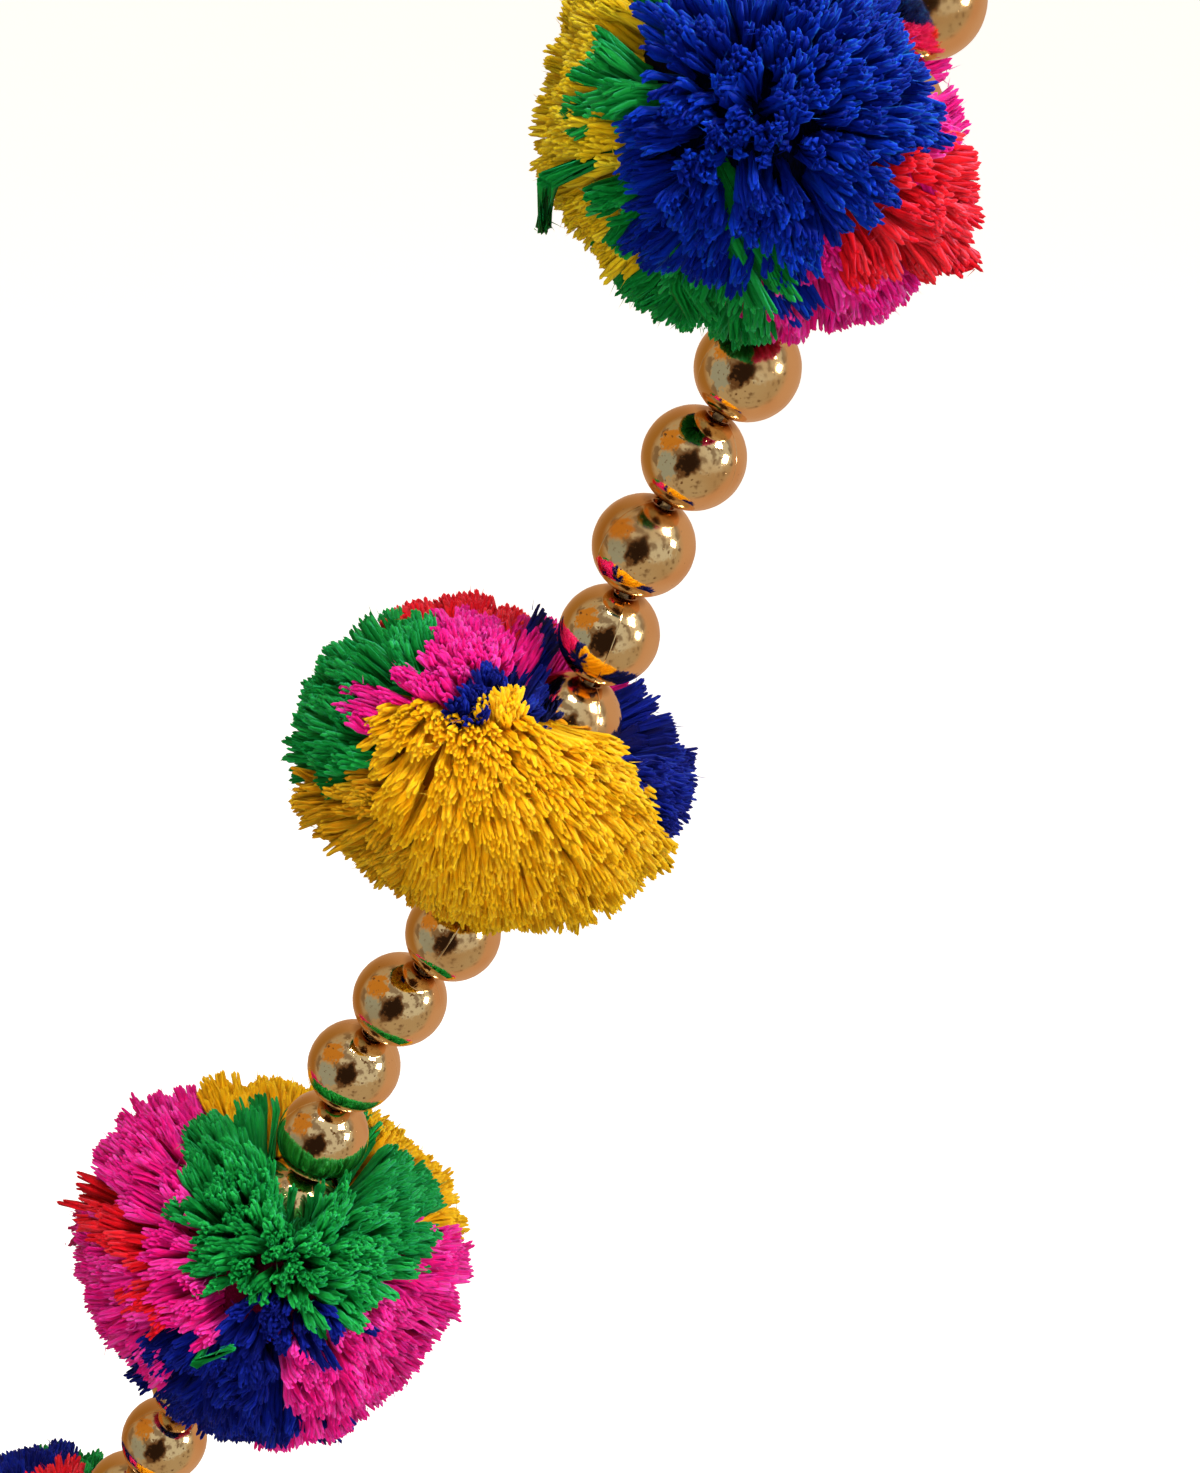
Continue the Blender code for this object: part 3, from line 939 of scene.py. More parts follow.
        thick = self.ply_radius * MM * rng.uniform(0.85, 1.15, (len(laid), 1, 1))
        radii = thick * np.array(PLY_THICKNESS)[None, :, None] * np.ones(PLY_SIDES)
        radii[:, -1] *= rng.uniform(0.75, 1.10, (len(laid), PLY_SIDES))
        spin = rng.uniform(0, 2 * math.pi, (len(laid), 1)) + np.linspace(0, 1.0, rings)
        surface = swept(laid, radii, spin, PLY_TIP * MM)
        return self.valued(surface, count, self.plies * (rings * PLY_SIDES + 1))

    def stray_paths(self, lock: Lock) -> np.ndarray:
        """Lays a lock's yarns from deep in the pile, up through it and down over its neighbours.

        Args:
            lock: The lock.

        Returns:
            The yarns' paths, yarns by rings by three.
        """
        rng = self.random
        places = np.array([lock.foot, lock.tip])
        ways = self.towards(places[:, 0], places[:, 1], np.ones(2))
        reach = self.reach(ways)[:, None]
        foot, tip = ways * reach
        over = unit(foot * 0.7 + tip * 0.3) * (reach[0] + LOCK_LIFT * MM)
        spots = np.stack([foot * 0.7, over, tip + unit(tip) * LOCK_TIP_LIFT * MM])
        count = max(2, round((lock.radius / LOCK_YARN)**2 * 3))
        spread = rng.normal(0, lock.radius * 0.4, (count, 1, 3)) * MM
        return spots[None] + spread * np.array([1.0, 1.0, 0.5])[None, :, None]

    def hairs(self, paths: np.ndarray) -> Surface:
        """Makes the fine loose fibres that stand off the cut ends.

        Args:
            paths: The yarns that they come from.

        Returns:
            The fibres with the same values as the plies.
        """
        rng = self.random
        chosen = rng.integers(0, len(paths), int(len(paths) * HAIRS_A_YARN))
        leave = unit(paths[chosen, -1] - paths[chosen, -2])
        ends = paths[chosen, -1] - leave * rng.uniform(0, HAIR_DROP, (len(chosen), 1)) * MM
        lean = unit(leave + rng.normal(0, 0.6, leave.shape))
        length = rng.uniform(*HAIR_LENGTH, (len(chosen), 1)) * MM
        feet = ends - leave * 0.3 * MM + rng.normal(0, 0.3, leave.shape) * MM
        return self.valued(spikes(feet, feet + lean * length, HAIR_RADIUS * MM), len(chosen), 4)

    def valued(self, surface: Surface, count: int, points: int) -> Surface:
        """Gives every strand its own shade, and every point its depth in the pile.

        Args:
            surface: The strands, from the ball's middle.
            count: How many strands there are.
            points: How many points each has.

        Returns:
            The same surface, placed on the strand.
        """
        rng = self.random
        shade = np.repeat(rng.uniform(0, 1, count), points)
        offset = np.repeat(rng.uniform(0, 90, (count, 3)), points, axis=0)
        distance = np.linalg.norm(surface.points, axis=1)
        surface.values["fibre"] = surface.values["fibre"] + offset
        surface.values["shade"] = shade
        # The yarn finishes paint shade by this depth, darker towards the roots
        surface.values["depth"] = distance / self.reach(unit(surface.points))
        surface.points = surface.points + self.middle
        return surface

    def soften(self, mesh: bpy.types.Mesh, softness: float) -> None:
        """Turns the shading of the strands part way to that of the ball, as light in a pile does.

        Args:
            mesh: The strands' mesh.
            softness: How far, as a share of the strands' own.
        """
        places = np.empty(len(mesh.vertices) * 3, np.float32)
        faced = np.empty_like(places)
        mesh.vertices.foreach_get("co", places)
        mesh.vertex_normals.foreach_get("vector", faced)
        outward = unit(places.reshape(-1, 3) - self.middle)
        mesh.normals_split_custom_set_from_vertices(unit(faced.reshape(-1, 3) + outward * softness))

    def core(self) -> Surface:
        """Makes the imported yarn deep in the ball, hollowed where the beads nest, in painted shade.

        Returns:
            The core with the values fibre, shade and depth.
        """
        columns, rows = CORE_COLUMNS, CORE_ROWS
        polar = math.pi * (np.arange(rows) + 0.5) / rows
        turn = 2 * math.pi * np.arange(columns) / columns
        ring = np.sin(polar)
        height = np.repeat(np.cos(polar)[:, None], columns, axis=1)
        directions = np.stack([np.outer(ring, np.cos(turn)), np.outer(ring, np.sin(turn)), height],
                              axis=-1).reshape(-1, 3)
        length = self.reach(directions) * CORE_REACH - self.hollow(directions)
        clear = (self.bead_clear + CORE_CLEAR) * MM
        for nest in self.nests:
            along = directions @ nest
            inside = clear**2 - (nest @ nest - along**2)
            wall = np.maximum(along - np.sqrt(np.maximum(inside, 0)), 0.5 * MM)
            length = np.where((inside > 0) & (along > 0), np.minimum(length, wall), length)
        points = directions * length[:, None]
        row, column = np.meshgrid(np.arange(rows - 1), np.arange(columns), indexing="ij")
        beside = (column + 1) % columns
        quads = np.stack([row * columns + column, (row + 1) * columns + column,
                          (row + 1) * columns + beside, row * columns + beside], axis=-1)
        fan = np.arange(1, columns - 1)
        last = (rows - 1) * columns
        caps = np.concatenate([np.stack([np.zeros_like(fan), fan, fan + 1], axis=-1),
                               last + np.stack([np.zeros_like(fan), fan + 1, fan], axis=-1)])
        count = len(points)
        # Depth nought has the yarn's finish paint the core in its darkest painted shade
        values = {"fibre": points / MM, "shade": np.full(count, 0.3), "depth": np.zeros(count)}
        return Surface(points + self.middle, quads.reshape(-1, 4), caps, values)

    def build(self, materials: dict[Yarn, bpy.types.Material]) -> None:
        """Builds the ball: its core, and one piece for each yarn.

        Args:
            materials: The material of each yarn.
        """
        paths, yarns = self.strand_paths()
        most = list(Yarn)[np.argmax(np.bincount(yarns))]
        for number, yarn in enumerate(Yarn):
            chosen = paths[yarns == number]
            if not len(chosen):
                continue
            strays = [self.stray_paths(lock) for lock in self.locks if lock.yarn is yarn]
            chosen = np.concatenate([chosen, *strays])
            surface = self.strands(chosen).joined(self.hairs(chosen))
            name = f"{self.name}_{yarn.value}"
            mesh = surface.mesh(name)
            self.soften(mesh, YARN_FINISHES[yarn].softness)
            place_piece(name, mesh, materials[yarn], [self.name])
            LOG.info("%s: %d strands, %d points", name, len(chosen), len(surface.points))
        name = f"{self.name}_core"
        place_piece(name, self.core().mesh(name), materials[most], [self.name])
        LOG.info("%s: %d strands in all", self.name, len(paths))


POMPOMS = (
    PomPom("pompom_1", "bead_a5", "bead_b1", left=10.0, up=8.6, front=2.0,
           width=20.8, depth=20.9, height=19.8, bundles=(
        *bundles_of(Yarn.BLUE, Side.NEAR, (
            (-0.05, -0.05, 21, 0.9, 0.50), (-0.41, 0.04, 15, 0.9, 0.50),
            (-0.36, -0.34, 14, 0.9, 0.40), (-0.20, -0.50, 13, 0.6, 0.40),
            (0.04, -0.56, 16, 0.5, 0.30), (-0.42, -0.54, 10, 0.2, 0.30),
            (0.04, -0.70, 9, -0.3, 0.30), (0.26, -0.52, 11, 0.3, 0.30),
            (0.35, -0.28, 15, 0.8, 0.40), (0.48, -0.04, 14, 0.9, 0.30),
            (0.24, 0.26, 20, 0.9, 0.12), (-0.22, 0.36, 19, 0.9, 0.30), (0.62, 0.20, 12, 0.6, 0.20),
            (0.68, 0.00, 9, 0.6, 0.25), (0.05, 0.72, 20, 0.6, 0.30))),
        *bundles_of(Yarn.YELLOW, Side.NEAR, (
            (-0.86, 0.25, 14, -1.0, 0.25), (-0.97, 0.22, 12, -2.2, 0.25),
            (-0.85, -0.10, 14, -0.3, 0.25), (-0.77, -0.46, 10, -1.2, 0.25),
            (-0.68, -0.63, 7, -1.5, 0.25), (-0.74, 0.58, 16, -0.2, 0.25))),
        *bundles_of(Yarn.GREEN, Side.NEAR, (
            (-0.60, 0.28, 9, 0.3, 0.55), (-0.64, 0.15, 8, 0.3, 0.55), (-0.84, 0.19, 3, 0.3, 0.50),
            (-0.75, 0.05, 6, 0.4, 0.60), (-0.71, -0.38, 8, 0.0, 0.40),
            (-0.66, -0.51, 8, -0.5, 0.40), (-0.58, -0.64, 9, -0.4, 0.35),
            (-0.54, 0.43, 10, 0.2, 0.50), (-0.49, 0.54, 9, 0.2, 0.40),
            (-0.42, -0.76, 12, -1.9, 0.30), (-0.19, -0.84, 11, -2.5, 0.30))),
        *bundles_of(Yarn.PINK, Side.NEAR, (
            (-0.21, -0.89, 5, -2.4), (0.15, -0.81, 11, -3.0, 0.30), (0.30, -0.71, 11, -2.2, 0.30),
            (0.56, -0.65, 9, -1.5, 0.30), (0.32, -0.92, 12, -4.5, 0.30),
            (0.82, -0.10, 6, -0.4, 0.30), (0.61, 0.09, 4, 0.4, 0.40),
            (0.92, 0.02, 12, -3.0, 0.25))),
        *bundles_of(Yarn.RED, Side.NEAR, (
            (0.74, -0.37, 15, 0.8, 0.60), (0.51, -0.55, 10, 0.4, 0.35),
            (0.64, -0.42, 12, 0.6, 0.40), (0.86, -0.48, 10, 2.2, 0.50))),
        Bundle(Yarn.YELLOW, -0.85, 0.10, Side.FAR, 30, -0.8),
        *bundles_of(Yarn.GREEN, Side.FAR, ((-0.30, -0.80, 25, -2.0), (0.10, 0.90, 30))),
        *bundles_of(Yarn.PINK, Side.FAR, ((0.40, -0.75, 25, -2.5), (0.88, 0.15, 25, -1.8))),
        Bundle(Yarn.RED, 0.80, -0.40, Side.FAR, 20, 0.2),
        Bundle(Yarn.BLUE, -0.05, 0.05, Side.FAR, 38),
    ), comb=2.1, dents=(
        Dent(0.88, 0.38, Side.NEAR, 24, 7.0),
        Dent(0.98, 0.05, Side.NEAR, 22, 3.2),
        Dent(-0.94, 0.30, Side.NEAR, 20, 1.2),
        Dent(-0.80, -0.58, Side.NEAR, 12, 1.0),
    ), locks=(
        Lock(Yarn.GREEN, (-0.70, -0.14), (-0.88, -0.45), 0.8),
        Lock(Yarn.RED, (0.78, -0.52), (0.84, -0.58), 0.5),
    )),
    PomPom("pompom_2", "bead_b5", "bead_c1", left=5.0, up=6.8, front=1.5,
           width=20.8, depth=18.5, height=15.2, bundles=(
        *bundles_of(Yarn.AMBER, Side.NEAR, (
            (-0.09, -0.24, 30, 0.5, 0.08), (-0.49, 0.18, 10, 0.7, 0.12),
            (-0.43, -0.14, 11, 1.4, 0.12), (-0.22, -0.54, 17, 0.4, 0.10),
            (0.21, -0.64, 17, -1.4, 0.10), (0.53, -0.31, 21, 0.0, 0.10),
            (0.66, 0.09, 11, 0.2, 0.15), (0.34, 0.10, 12, 0.4, 0.12),
            (0.80, -0.36, 13, -0.4, 0.12), (0.75, -0.62, 12, -1.4, 0.12),
            (0.30, -0.92, 14, -2.8, 0.12), (0.06, 0.36, 9, 0.8, 0.25))),
        *bundles_of(Yarn.GREEN, Side.NEAR, (
            (-0.58, 0.72, 14, -0.3, 0.30), (-0.80, 0.36, 13, -0.3, 0.30),
            (-0.84, 0.08, 10, 0.0, 0.35), (-0.69, 0.01, 4, -0.3, 0.35),
            (-0.98, 0.06, 9, 1.0, 0.35))),
        *bundles_of(Yarn.MUSTARD, Side.NEAR, (
            (-0.80, -0.13, 9, -0.8, 0.35), (-0.96, -0.20, 10, 2.2, 0.35),
            (-0.87, -0.32, 15, 1.0, 0.35), (-0.78, -0.52, 17, 0.0, 0.35),
            (-0.66, -0.40, 9, -2.2, 0.35), (-0.65, -0.70, 12, -0.6, 0.35))),
        *bundles_of(Yarn.PINK, Side.NEAR, (
            (-0.08, 0.79, 19, 0.0, 0.18), (-0.39, 0.54, 11, 0.2, 0.22),
            (-0.64, 0.42, 7, 0.3, 0.30), (-0.67, 0.25, 4, 0.4, 0.35), (0.28, 0.80, 16, 0.0, 0.22),
            (0.46, 0.64, 9, 0.0, 0.22))),
        *bundles_of(Yarn.RED, Side.NEAR, (
            (-0.42, 0.90, 7, -0.1, 0.35), (-0.16, 0.98, 7, -0.3, 0.35),
            (0.18, 0.98, 7, -0.6, 0.35), (0.48, 0.81, 5, -0.3, 0.35))),
        *bundles_of(Yarn.NAVY, Side.NEAR, (
            (-0.12, 0.42, 9, 0.5, 0.40), (0.00, 0.54, 9, 0.5, 0.40), (0.16, 0.60, 11, 0.5, 0.40),
            (0.28, 0.47, 8, 0.3, 0.30), (0.34, 0.33, 9, 0.2, 0.20), (-0.29, 0.32, 5, 0.5, 0.50),
            (0.88, 0.27, 15, 0.3, 0.45), (0.95, 0.05, 13, 0.3, 0.50), (0.96, -0.16, 9, 0.3, 0.50),
            (0.80, -0.54, 4, 0.6, 0.50), (-0.57, -0.57, 4, -0.8, 0.50))),
        *bundles_of(Yarn.GREEN, Side.FAR, ((-0.90, 0.25, 22), (0.10, 0.00, 38))),
        Bundle(Yarn.MUSTARD, -0.80, -0.40, Side.FAR, 24, -0.6),
        Bundle(Yarn.NAVY, 0.95, 0.10, Side.FAR, 26),
        *bundles_of(Yarn.AMBER, Side.FAR, ((0.70, -0.60, 26, -1.2), (-0.10, -0.88, 26, -2.2))),
        Bundle(Yarn.RED, -0.10, 0.92, Side.FAR, 20),
        Bundle(Yarn.PINK, 0.55, 0.70, Side.FAR, 22),
    ), ends=3700, lay=(1.2, -3.4), dents=(
        Dent(0.54, 0.44, Side.NEAR, 19, 8.5),
    )),
    PomPom("pompom_3", "bead_c5", "bead_d1", left=-1.5, up=6.8, front=1.0,
           width=22.6, depth=21.0, height=19.9, bundles=(
        *bundles_of(Yarn.GREEN, Side.NEAR, (
            (0.13, 0.09, 21, 0.6, 0.20), (-0.14, 0.68, 17, 0.4, 0.20),
            (-0.36, 0.38, 12, 0.5, 0.24), (-0.28, 0.03, 13, 0.5, 0.24),
            (0.70, 0.34, 19, 0.4, 0.20), (0.54, -0.02, 16, 0.4, 0.20),
            (0.20, -0.26, 10, 0.5, 0.30), (-0.02, 0.85, 10, 0.3, 0.30),
            (0.38, 0.62, 20, 0.3, 0.25))),
        *bundles_of(Yarn.AMBER, Side.NEAR, (
            (-0.20, 0.96, 8, 2.4, 0.20), (0.12, 0.98, 8, 0.8, 0.20), (0.45, 0.88, 8, -0.6, 0.20),
            (0.76, 0.64, 8, -0.6, 0.20), (0.93, 0.36, 9, 0.3, 0.20), (0.98, 0.18, 7, 0.3, 0.20))),
        *bundles_of(Yarn.PINK, Side.NEAR, (
            (-0.64, 0.70, 19, 3.0, 0.35), (-0.82, 0.57, 11, 1.2, 0.30),
            (-0.94, 0.34, 9, 4.4, 0.30), (-0.64, 0.42, 9, 0.7, 0.30), (-0.55, 0.11, 9, 0.4, 0.25),
            (-0.90, 0.06, 8, -0.8, 0.15), (-0.85, -0.16, 9, -2.6, 0.30),
            (-0.86, -0.38, 10, -4.0, 0.30), (-0.49, -0.19, 11, 0.2, 0.38),
            (-0.42, -0.36, 6, 0.2, 0.40), (0.91, -0.10, 13, 0.2, 0.35),
            (0.74, -0.38, 17, -3.6, 0.35), (0.47, -0.59, 14, -2.4, 0.30),
            (0.74, -0.64, 13, -5.0, 0.30), (0.89, -0.38, 12, -4.6, 0.30),
            (0.11, -0.65, 8, -1.2, 0.35), (0.02, -0.78, 7, -1.6, 0.35),
            (0.14, 0.85, 3, 0.8, 0.35))),
        *bundles_of(Yarn.RED, Side.NEAR, (
            (-0.90, 0.40, 6, 3.6, 0.12), (-0.85, 0.33, 6, 2.0, 0.12), (-0.80, 0.23, 6, 1.2, 0.12),
            (-0.76, 0.14, 6, 1.0, 0.12), (-0.75, 0.08, 5, 0.9, 0.12), (-0.74, 0.01, 6, 0.9, 0.12),
            (-0.72, -0.06, 5, 0.7, 0.12), (-0.70, -0.14, 5, 0.6, 0.12))),
        *bundles_of(Yarn.NAVY, Side.NEAR, (
            (-0.10, -0.34, 10, 0.4, 0.50), (0.17, -0.43, 7, 0.3, 0.50),
            (-0.28, -0.22, 4, 0.5, 0.50), (0.36, -0.42, 4, 0.3, 0.50),
            (-0.38, -0.57, 16, 0.1, 0.50), (-0.52, -0.56, 8, -2.0, 0.40),
            (-0.20, -0.80, 11, -0.3, 0.50))),
        *bundles_of(Yarn.AMBER, Side.FAR, ((0.10, 0.85, 30), (0.90, 0.35, 20))),
        *bundles_of(Yarn.PINK, Side.FAR, (
            (-0.90, 0.30, 28, 1.6), (0.85, -0.35, 24, -4.0), (0.25, -0.92, 22, -2.0))),
        Bundle(Yarn.NAVY, -0.50, -0.78, Side.FAR, 20, -0.6),
        Bundle(Yarn.RED, 0.00, 0.00, Side.FAR, 40),
    ), opening=0.6, dents=(
        Dent(0.20, 0.36, Side.NEAR, 10, 9.0),
        Dent(0.68, -0.70, Side.NEAR, 25, 2.5),
        Dent(-0.78, -0.58, Side.NEAR, 16, 1.5),
    ), locks=(
        Lock(Yarn.GREEN, (-0.48, -0.43), (-0.24, -0.37), 0.4),
    )),
    PomPom("pompom_4", "bead_d4", "bead_e1", left=1.0, up=0.0, front=0.0,
           width=22.0, depth=22.0, height=21.0, bundles=(
        *bundles_of(Yarn.NAVY, Side.NEAR, ((-0.20, 0.70, 30), (-0.70, -0.30, 34))),
        *bundles_of(Yarn.PINK, Side.NEAR, ((-0.15, 0.55, 18), (0.20, -0.85, 30))),
        Bundle(Yarn.RED, 0.15, 0.75, Side.NEAR, 18),
        Bundle(Yarn.GREEN, 0.40, 0.60, Side.NEAR, 24),
        Bundle(Yarn.AMBER, 0.30, -0.20, Side.NEAR, 40),
        Bundle(Yarn.GREEN, -0.40, 0.20, Side.FAR, 40),
        Bundle(Yarn.RED, 0.50, -0.30, Side.FAR, 40),
    ), ends=3700, opening=0.4),
)


# Beads and cord

@dataclass
class BeadString:
    """The moulded gold beads, with sizes in mm."""

    bore: float = 1.0
    rim: float = 1.45
    lip: float = 4.80
    sides: int = 40
    bands: int = 26

    def profile(self) -> np.ndarray:
        """Works out half a section of a bead.

        Returns:
            Rows of radius and height in mm, down the outside.
        """
        radius = BEAD_RADIUS / MM
        begin = math.asin(self.rim / radius)
        sweep = np.linspace(begin, math.pi - begin, self.bands)
        ball = np.stack([radius * np.sin(sweep), radius * np.cos(sweep)], axis=1)
        top = np.array([[self.bore, self.lip - 0.25], [self.bore + 0.06, self.lip - 0.06],
                        [self.bore + 0.20, self.lip], [self.rim - 0.06, ball[0, 1] + 0.01]])
        return np.concatenate([top, ball, top[::-1] * [1, -1]]) * MM

    def build(self, beads: dict[str, np.ndarray], material: bpy.types.Material) -> None:
        """Strings every bead on the line through its neighbours.

        Args:
            beads: Every bead's place.
            material: The plating.
        """
        rng = np.random.default_rng(24)
        places = np.array(list(beads.values()))
        steps = unit(np.diff(places, axis=0))
        lines = unit(np.concatenate([steps[:1], steps[:-1] + steps[1:], steps[-1:]]))
        shared = turned(self.profile(), self.sides)
        for (name, place), line in zip(beads.items(), lines):
            turn = Vector(-line).to_track_quat("Z", "Y").to_matrix()
            roll = Matrix.Rotation(rng.uniform(0, 2 * math.pi), 3, "Z")
            label = f"{name}_gold"
            piece = place_piece(label, shared.mesh(label), material, [name])
            piece.matrix_world = Matrix.Translation(place) @ (turn @ roll).to_4x4()
        LOG.info("beads: %d", len(beads))


@dataclass
class TwistedCord:
    """The three-ply stringing cord with a knot and a loop at each end, with sizes in mm."""

    radius: float = 0.58
    ply_pitch: float = 3.6
    ply_depth: float = 0.10
    step: float = 0.45
    sides: int = 9
    knot_height: float = 2.1
    touch_gap: float = 0.3
    loop_radius: float = 5.0
    loop_reach: float = 13.0
    leg_gap: float = 0.9
    knot_size: float = 0.62

    def tube(self, route: np.ndarray) -> Surface:
        """Lays three-ply cord along a route.

        Args:
            route: Points in metres along the cord's middle.

        Returns:
            The cord with the values fibre and shade.
        """
        lengths = np.linalg.norm(np.diff(route, axis=0), axis=1)
        along = np.concatenate([[0.0], np.cumsum(lengths)])
        count = max(8, int(along[-1] / (self.step * MM)))
        spots = np.linspace(0, along[-1], count)
        path = np.stack([np.interp(spots, along, route[:, axis]) for axis in range(3)], axis=1)
        ply = np.cos(3 * 2 * math.pi * np.arange(self.sides) / self.sides)
        swell = 1 - self.ply_depth + self.ply_depth * ply
        radii = np.tile(self.radius * MM * swell, (1, count, 1))
        spin = (2 * math.pi * spots / (self.ply_pitch * MM))[None]
        surface = swept(path[None], radii, spin, 0.1 * MM)
        # shade is nought in the grooves between the plies, where the cord's finish paints shade
        shade = np.append(np.tile(ply * 0.5 + 0.5, count), 0.5)
        surface.values["shade"] = shade
        return surface

    def string_route(self, places: np.ndarray) -> np.ndarray:
        """Works out the smooth line through every bead.

        Args:
            places: The cord's start, every bead and the cord's end.

        Returns:
            Points in metres along the cord.
        """
        steps = unit(np.diff(places, axis=0))
        ways = np.concatenate([steps[:1], unit(steps[:-1] + steps[1:]), steps[-1:]])
        t = np.linspace(0, 1, 24, endpoint=False)[:, None]
        pieces = []
        for start, end, leave, arrive in zip(places, places[1:], ways, ways[1:]):
            length = np.linalg.norm(end - start)
            pieces.append(start * (2 * t**3 - 3 * t**2 + 1) + leave * length * (t**3 - 2 * t**2 + t)
                          + end * (3 * t**2 - 2 * t**3) + arrive * length * (t**3 - t**2))
        return np.concatenate([*pieces, places[-1:]])

    def loop_route(self, knot: np.ndarray, outward: np.ndarray) -> np.ndarray:
        """Works out a loop from its knot, out round its eye and back.

        Args:
            knot: The knot's middle.
            outward: The unit vector from the knot through the loop.

        Returns:
            Points in metres along the loop.
        """
        side = np.cross([0.0, 1.0, 0.0], outward)
        swing = math.pi / 2 + math.asin(self.loop_radius / self.loop_reach)
        angles = np.linspace(-swing, swing, 49)
        arc = np.stack([self.loop_radius * np.sin(angles),
                        self.loop_reach + self.loop_radius * np.cos(angles)], axis=1)
        t = np.linspace(0, 1, 12, endpoint=False)[:, None]
        leg = np.array([self.leg_gap, 0.0]) * (1 - t) + arc[-1] * t
        outline = np.concatenate([leg * [-1, 1], arc, leg[::-1]]) * MM
        return knot + outline[:, :1] * side + outline[:, 1:] * outward

    def knot_route(self, knot: np.ndarray, outward: np.ndarray) -> np.ndarray:
        """Works out the overhand knot as a trefoil drawn tight.

        Args:
            knot: The knot's middle.
            outward: The unit vector from the knot through the loop.

        Returns:
            Points in metres along the knot.
        """
        side = np.cross([0.0, 1.0, 0.0], outward)
        t = np.linspace(0, 2 * math.pi, 90)[:, None]
        size = self.knot_size * MM
        return (knot + side * size * (np.sin(t) + 2 * np.sin(2 * t))
                + outward * size * (np.cos(t) - 2 * np.cos(2 * t))
                + np.array([0.0, 1.0, 0.0]) * size * 1.5 * -np.sin(3 * t))

    def build(self, beads: dict[str, np.ndarray], material: bpy.types.Material) -> None:
        """Builds the cord and both end loops.

        Args:
            beads: Every bead's place.
            material: The cord's finish.
        """
        places = np.array(list(beads.values()))
        first, last = unit(places[1] - places[0]), unit(places[-1] - places[-2])
        end_reach = (self.knot_height + self.touch_gap) * MM + BEAD_RADIUS
        knots = {"upper_loop": (places[0] - first * end_reach, -first),
                 "lower_loop": (places[-1] + last * end_reach, last)}
        ends = [knots["upper_loop"][0], knots["lower_loop"][0]]
        route = self.string_route(np.concatenate([ends[:1], places, ends[1:]]))
        piece = self.tube(route).mesh("twisted_cord")
        place_piece("twisted_cord", piece, material, ["stringing_cord"])
        for name, (knot, outward) in knots.items():
            surface = self.tube(self.loop_route(knot, outward))
            surface = surface.joined(self.tube(self.knot_route(knot, outward)))
            place_piece(f"{name}_cord", surface.mesh(f"{name}_cord"), material, [name])
        length = np.linalg.norm(np.diff(route, axis=0), axis=1).sum() / MM
        LOG.info("cord: %.0f mm between its knots", length)


# Camera, lights and floor

@dataclass(frozen=True)
class Lamp:
    """A square lamp, placed by where it shines on a bead as the camera sees it, in bead radii."""

    right: float
    up: float
    size: float
    power: float
    colour: Colour = (1.0, 1.0, 1.0)
    distance: float = 1.3
    mirrored: bool = True

    def build(self, target: Vector, number: int) -> None:
        """Hangs the lamp.

        Args:
            target: What it lights.
            number: Its number, for its name.
        """
        normal = Vector((self.right, self.up, math.sqrt(1 - self.right**2 - self.up**2)))
        way = as_seen(*(normal * (2 * normal.z) - Vector((0.0, 0.0, 1.0))))
        data = bpy.data.lights.new(f"lamp_{number}", "AREA")
        data.shape, data.size = "SQUARE", self.size
        data.energy, data.color = self.power, self.colour
        lamp = bpy.data.objects.new(data.name, data)
        bpy.context.scene.collection.objects.link(lamp)
        turn = way.to_track_quat("Z", "Y").to_matrix() @ Matrix.Rotation(math.radians(45), 3, "Z")
        lamp.matrix_world = Matrix.Translation(target + way * self.distance) @ turn.to_4x4()
        lamp.visible_camera = False
        lamp.visible_glossy = self.mirrored


@dataclass(frozen=True)
class Patch:
    """A ragged patch of the room, placed by the way to it as the camera sees it."""

    colour: Colour
    place: tuple[float, float, float]
    ragged: float
    fades: tuple[float, float]

    def mask(self, bench: Bench, way: bpy.types.NodeSocket,
             grain: bpy.types.NodeSocket) -> bpy.types.NodeSocket:
        """Works out where the patch is.

        Args:
            bench: The room's tree.
            way: The way looked.
            grain: The grain that makes its edge ragged.

        Returns:
            One in the patch and nought outside it.
        """
        place = tuple(as_seen(*Vector(self.place).normalized()))
        nearness = bench.vector("DOT_PRODUCT", way, place)
        return bench.ease(bench.sum("MULTIPLY_ADD", grain, self.ragged, nearness), *self.fades)


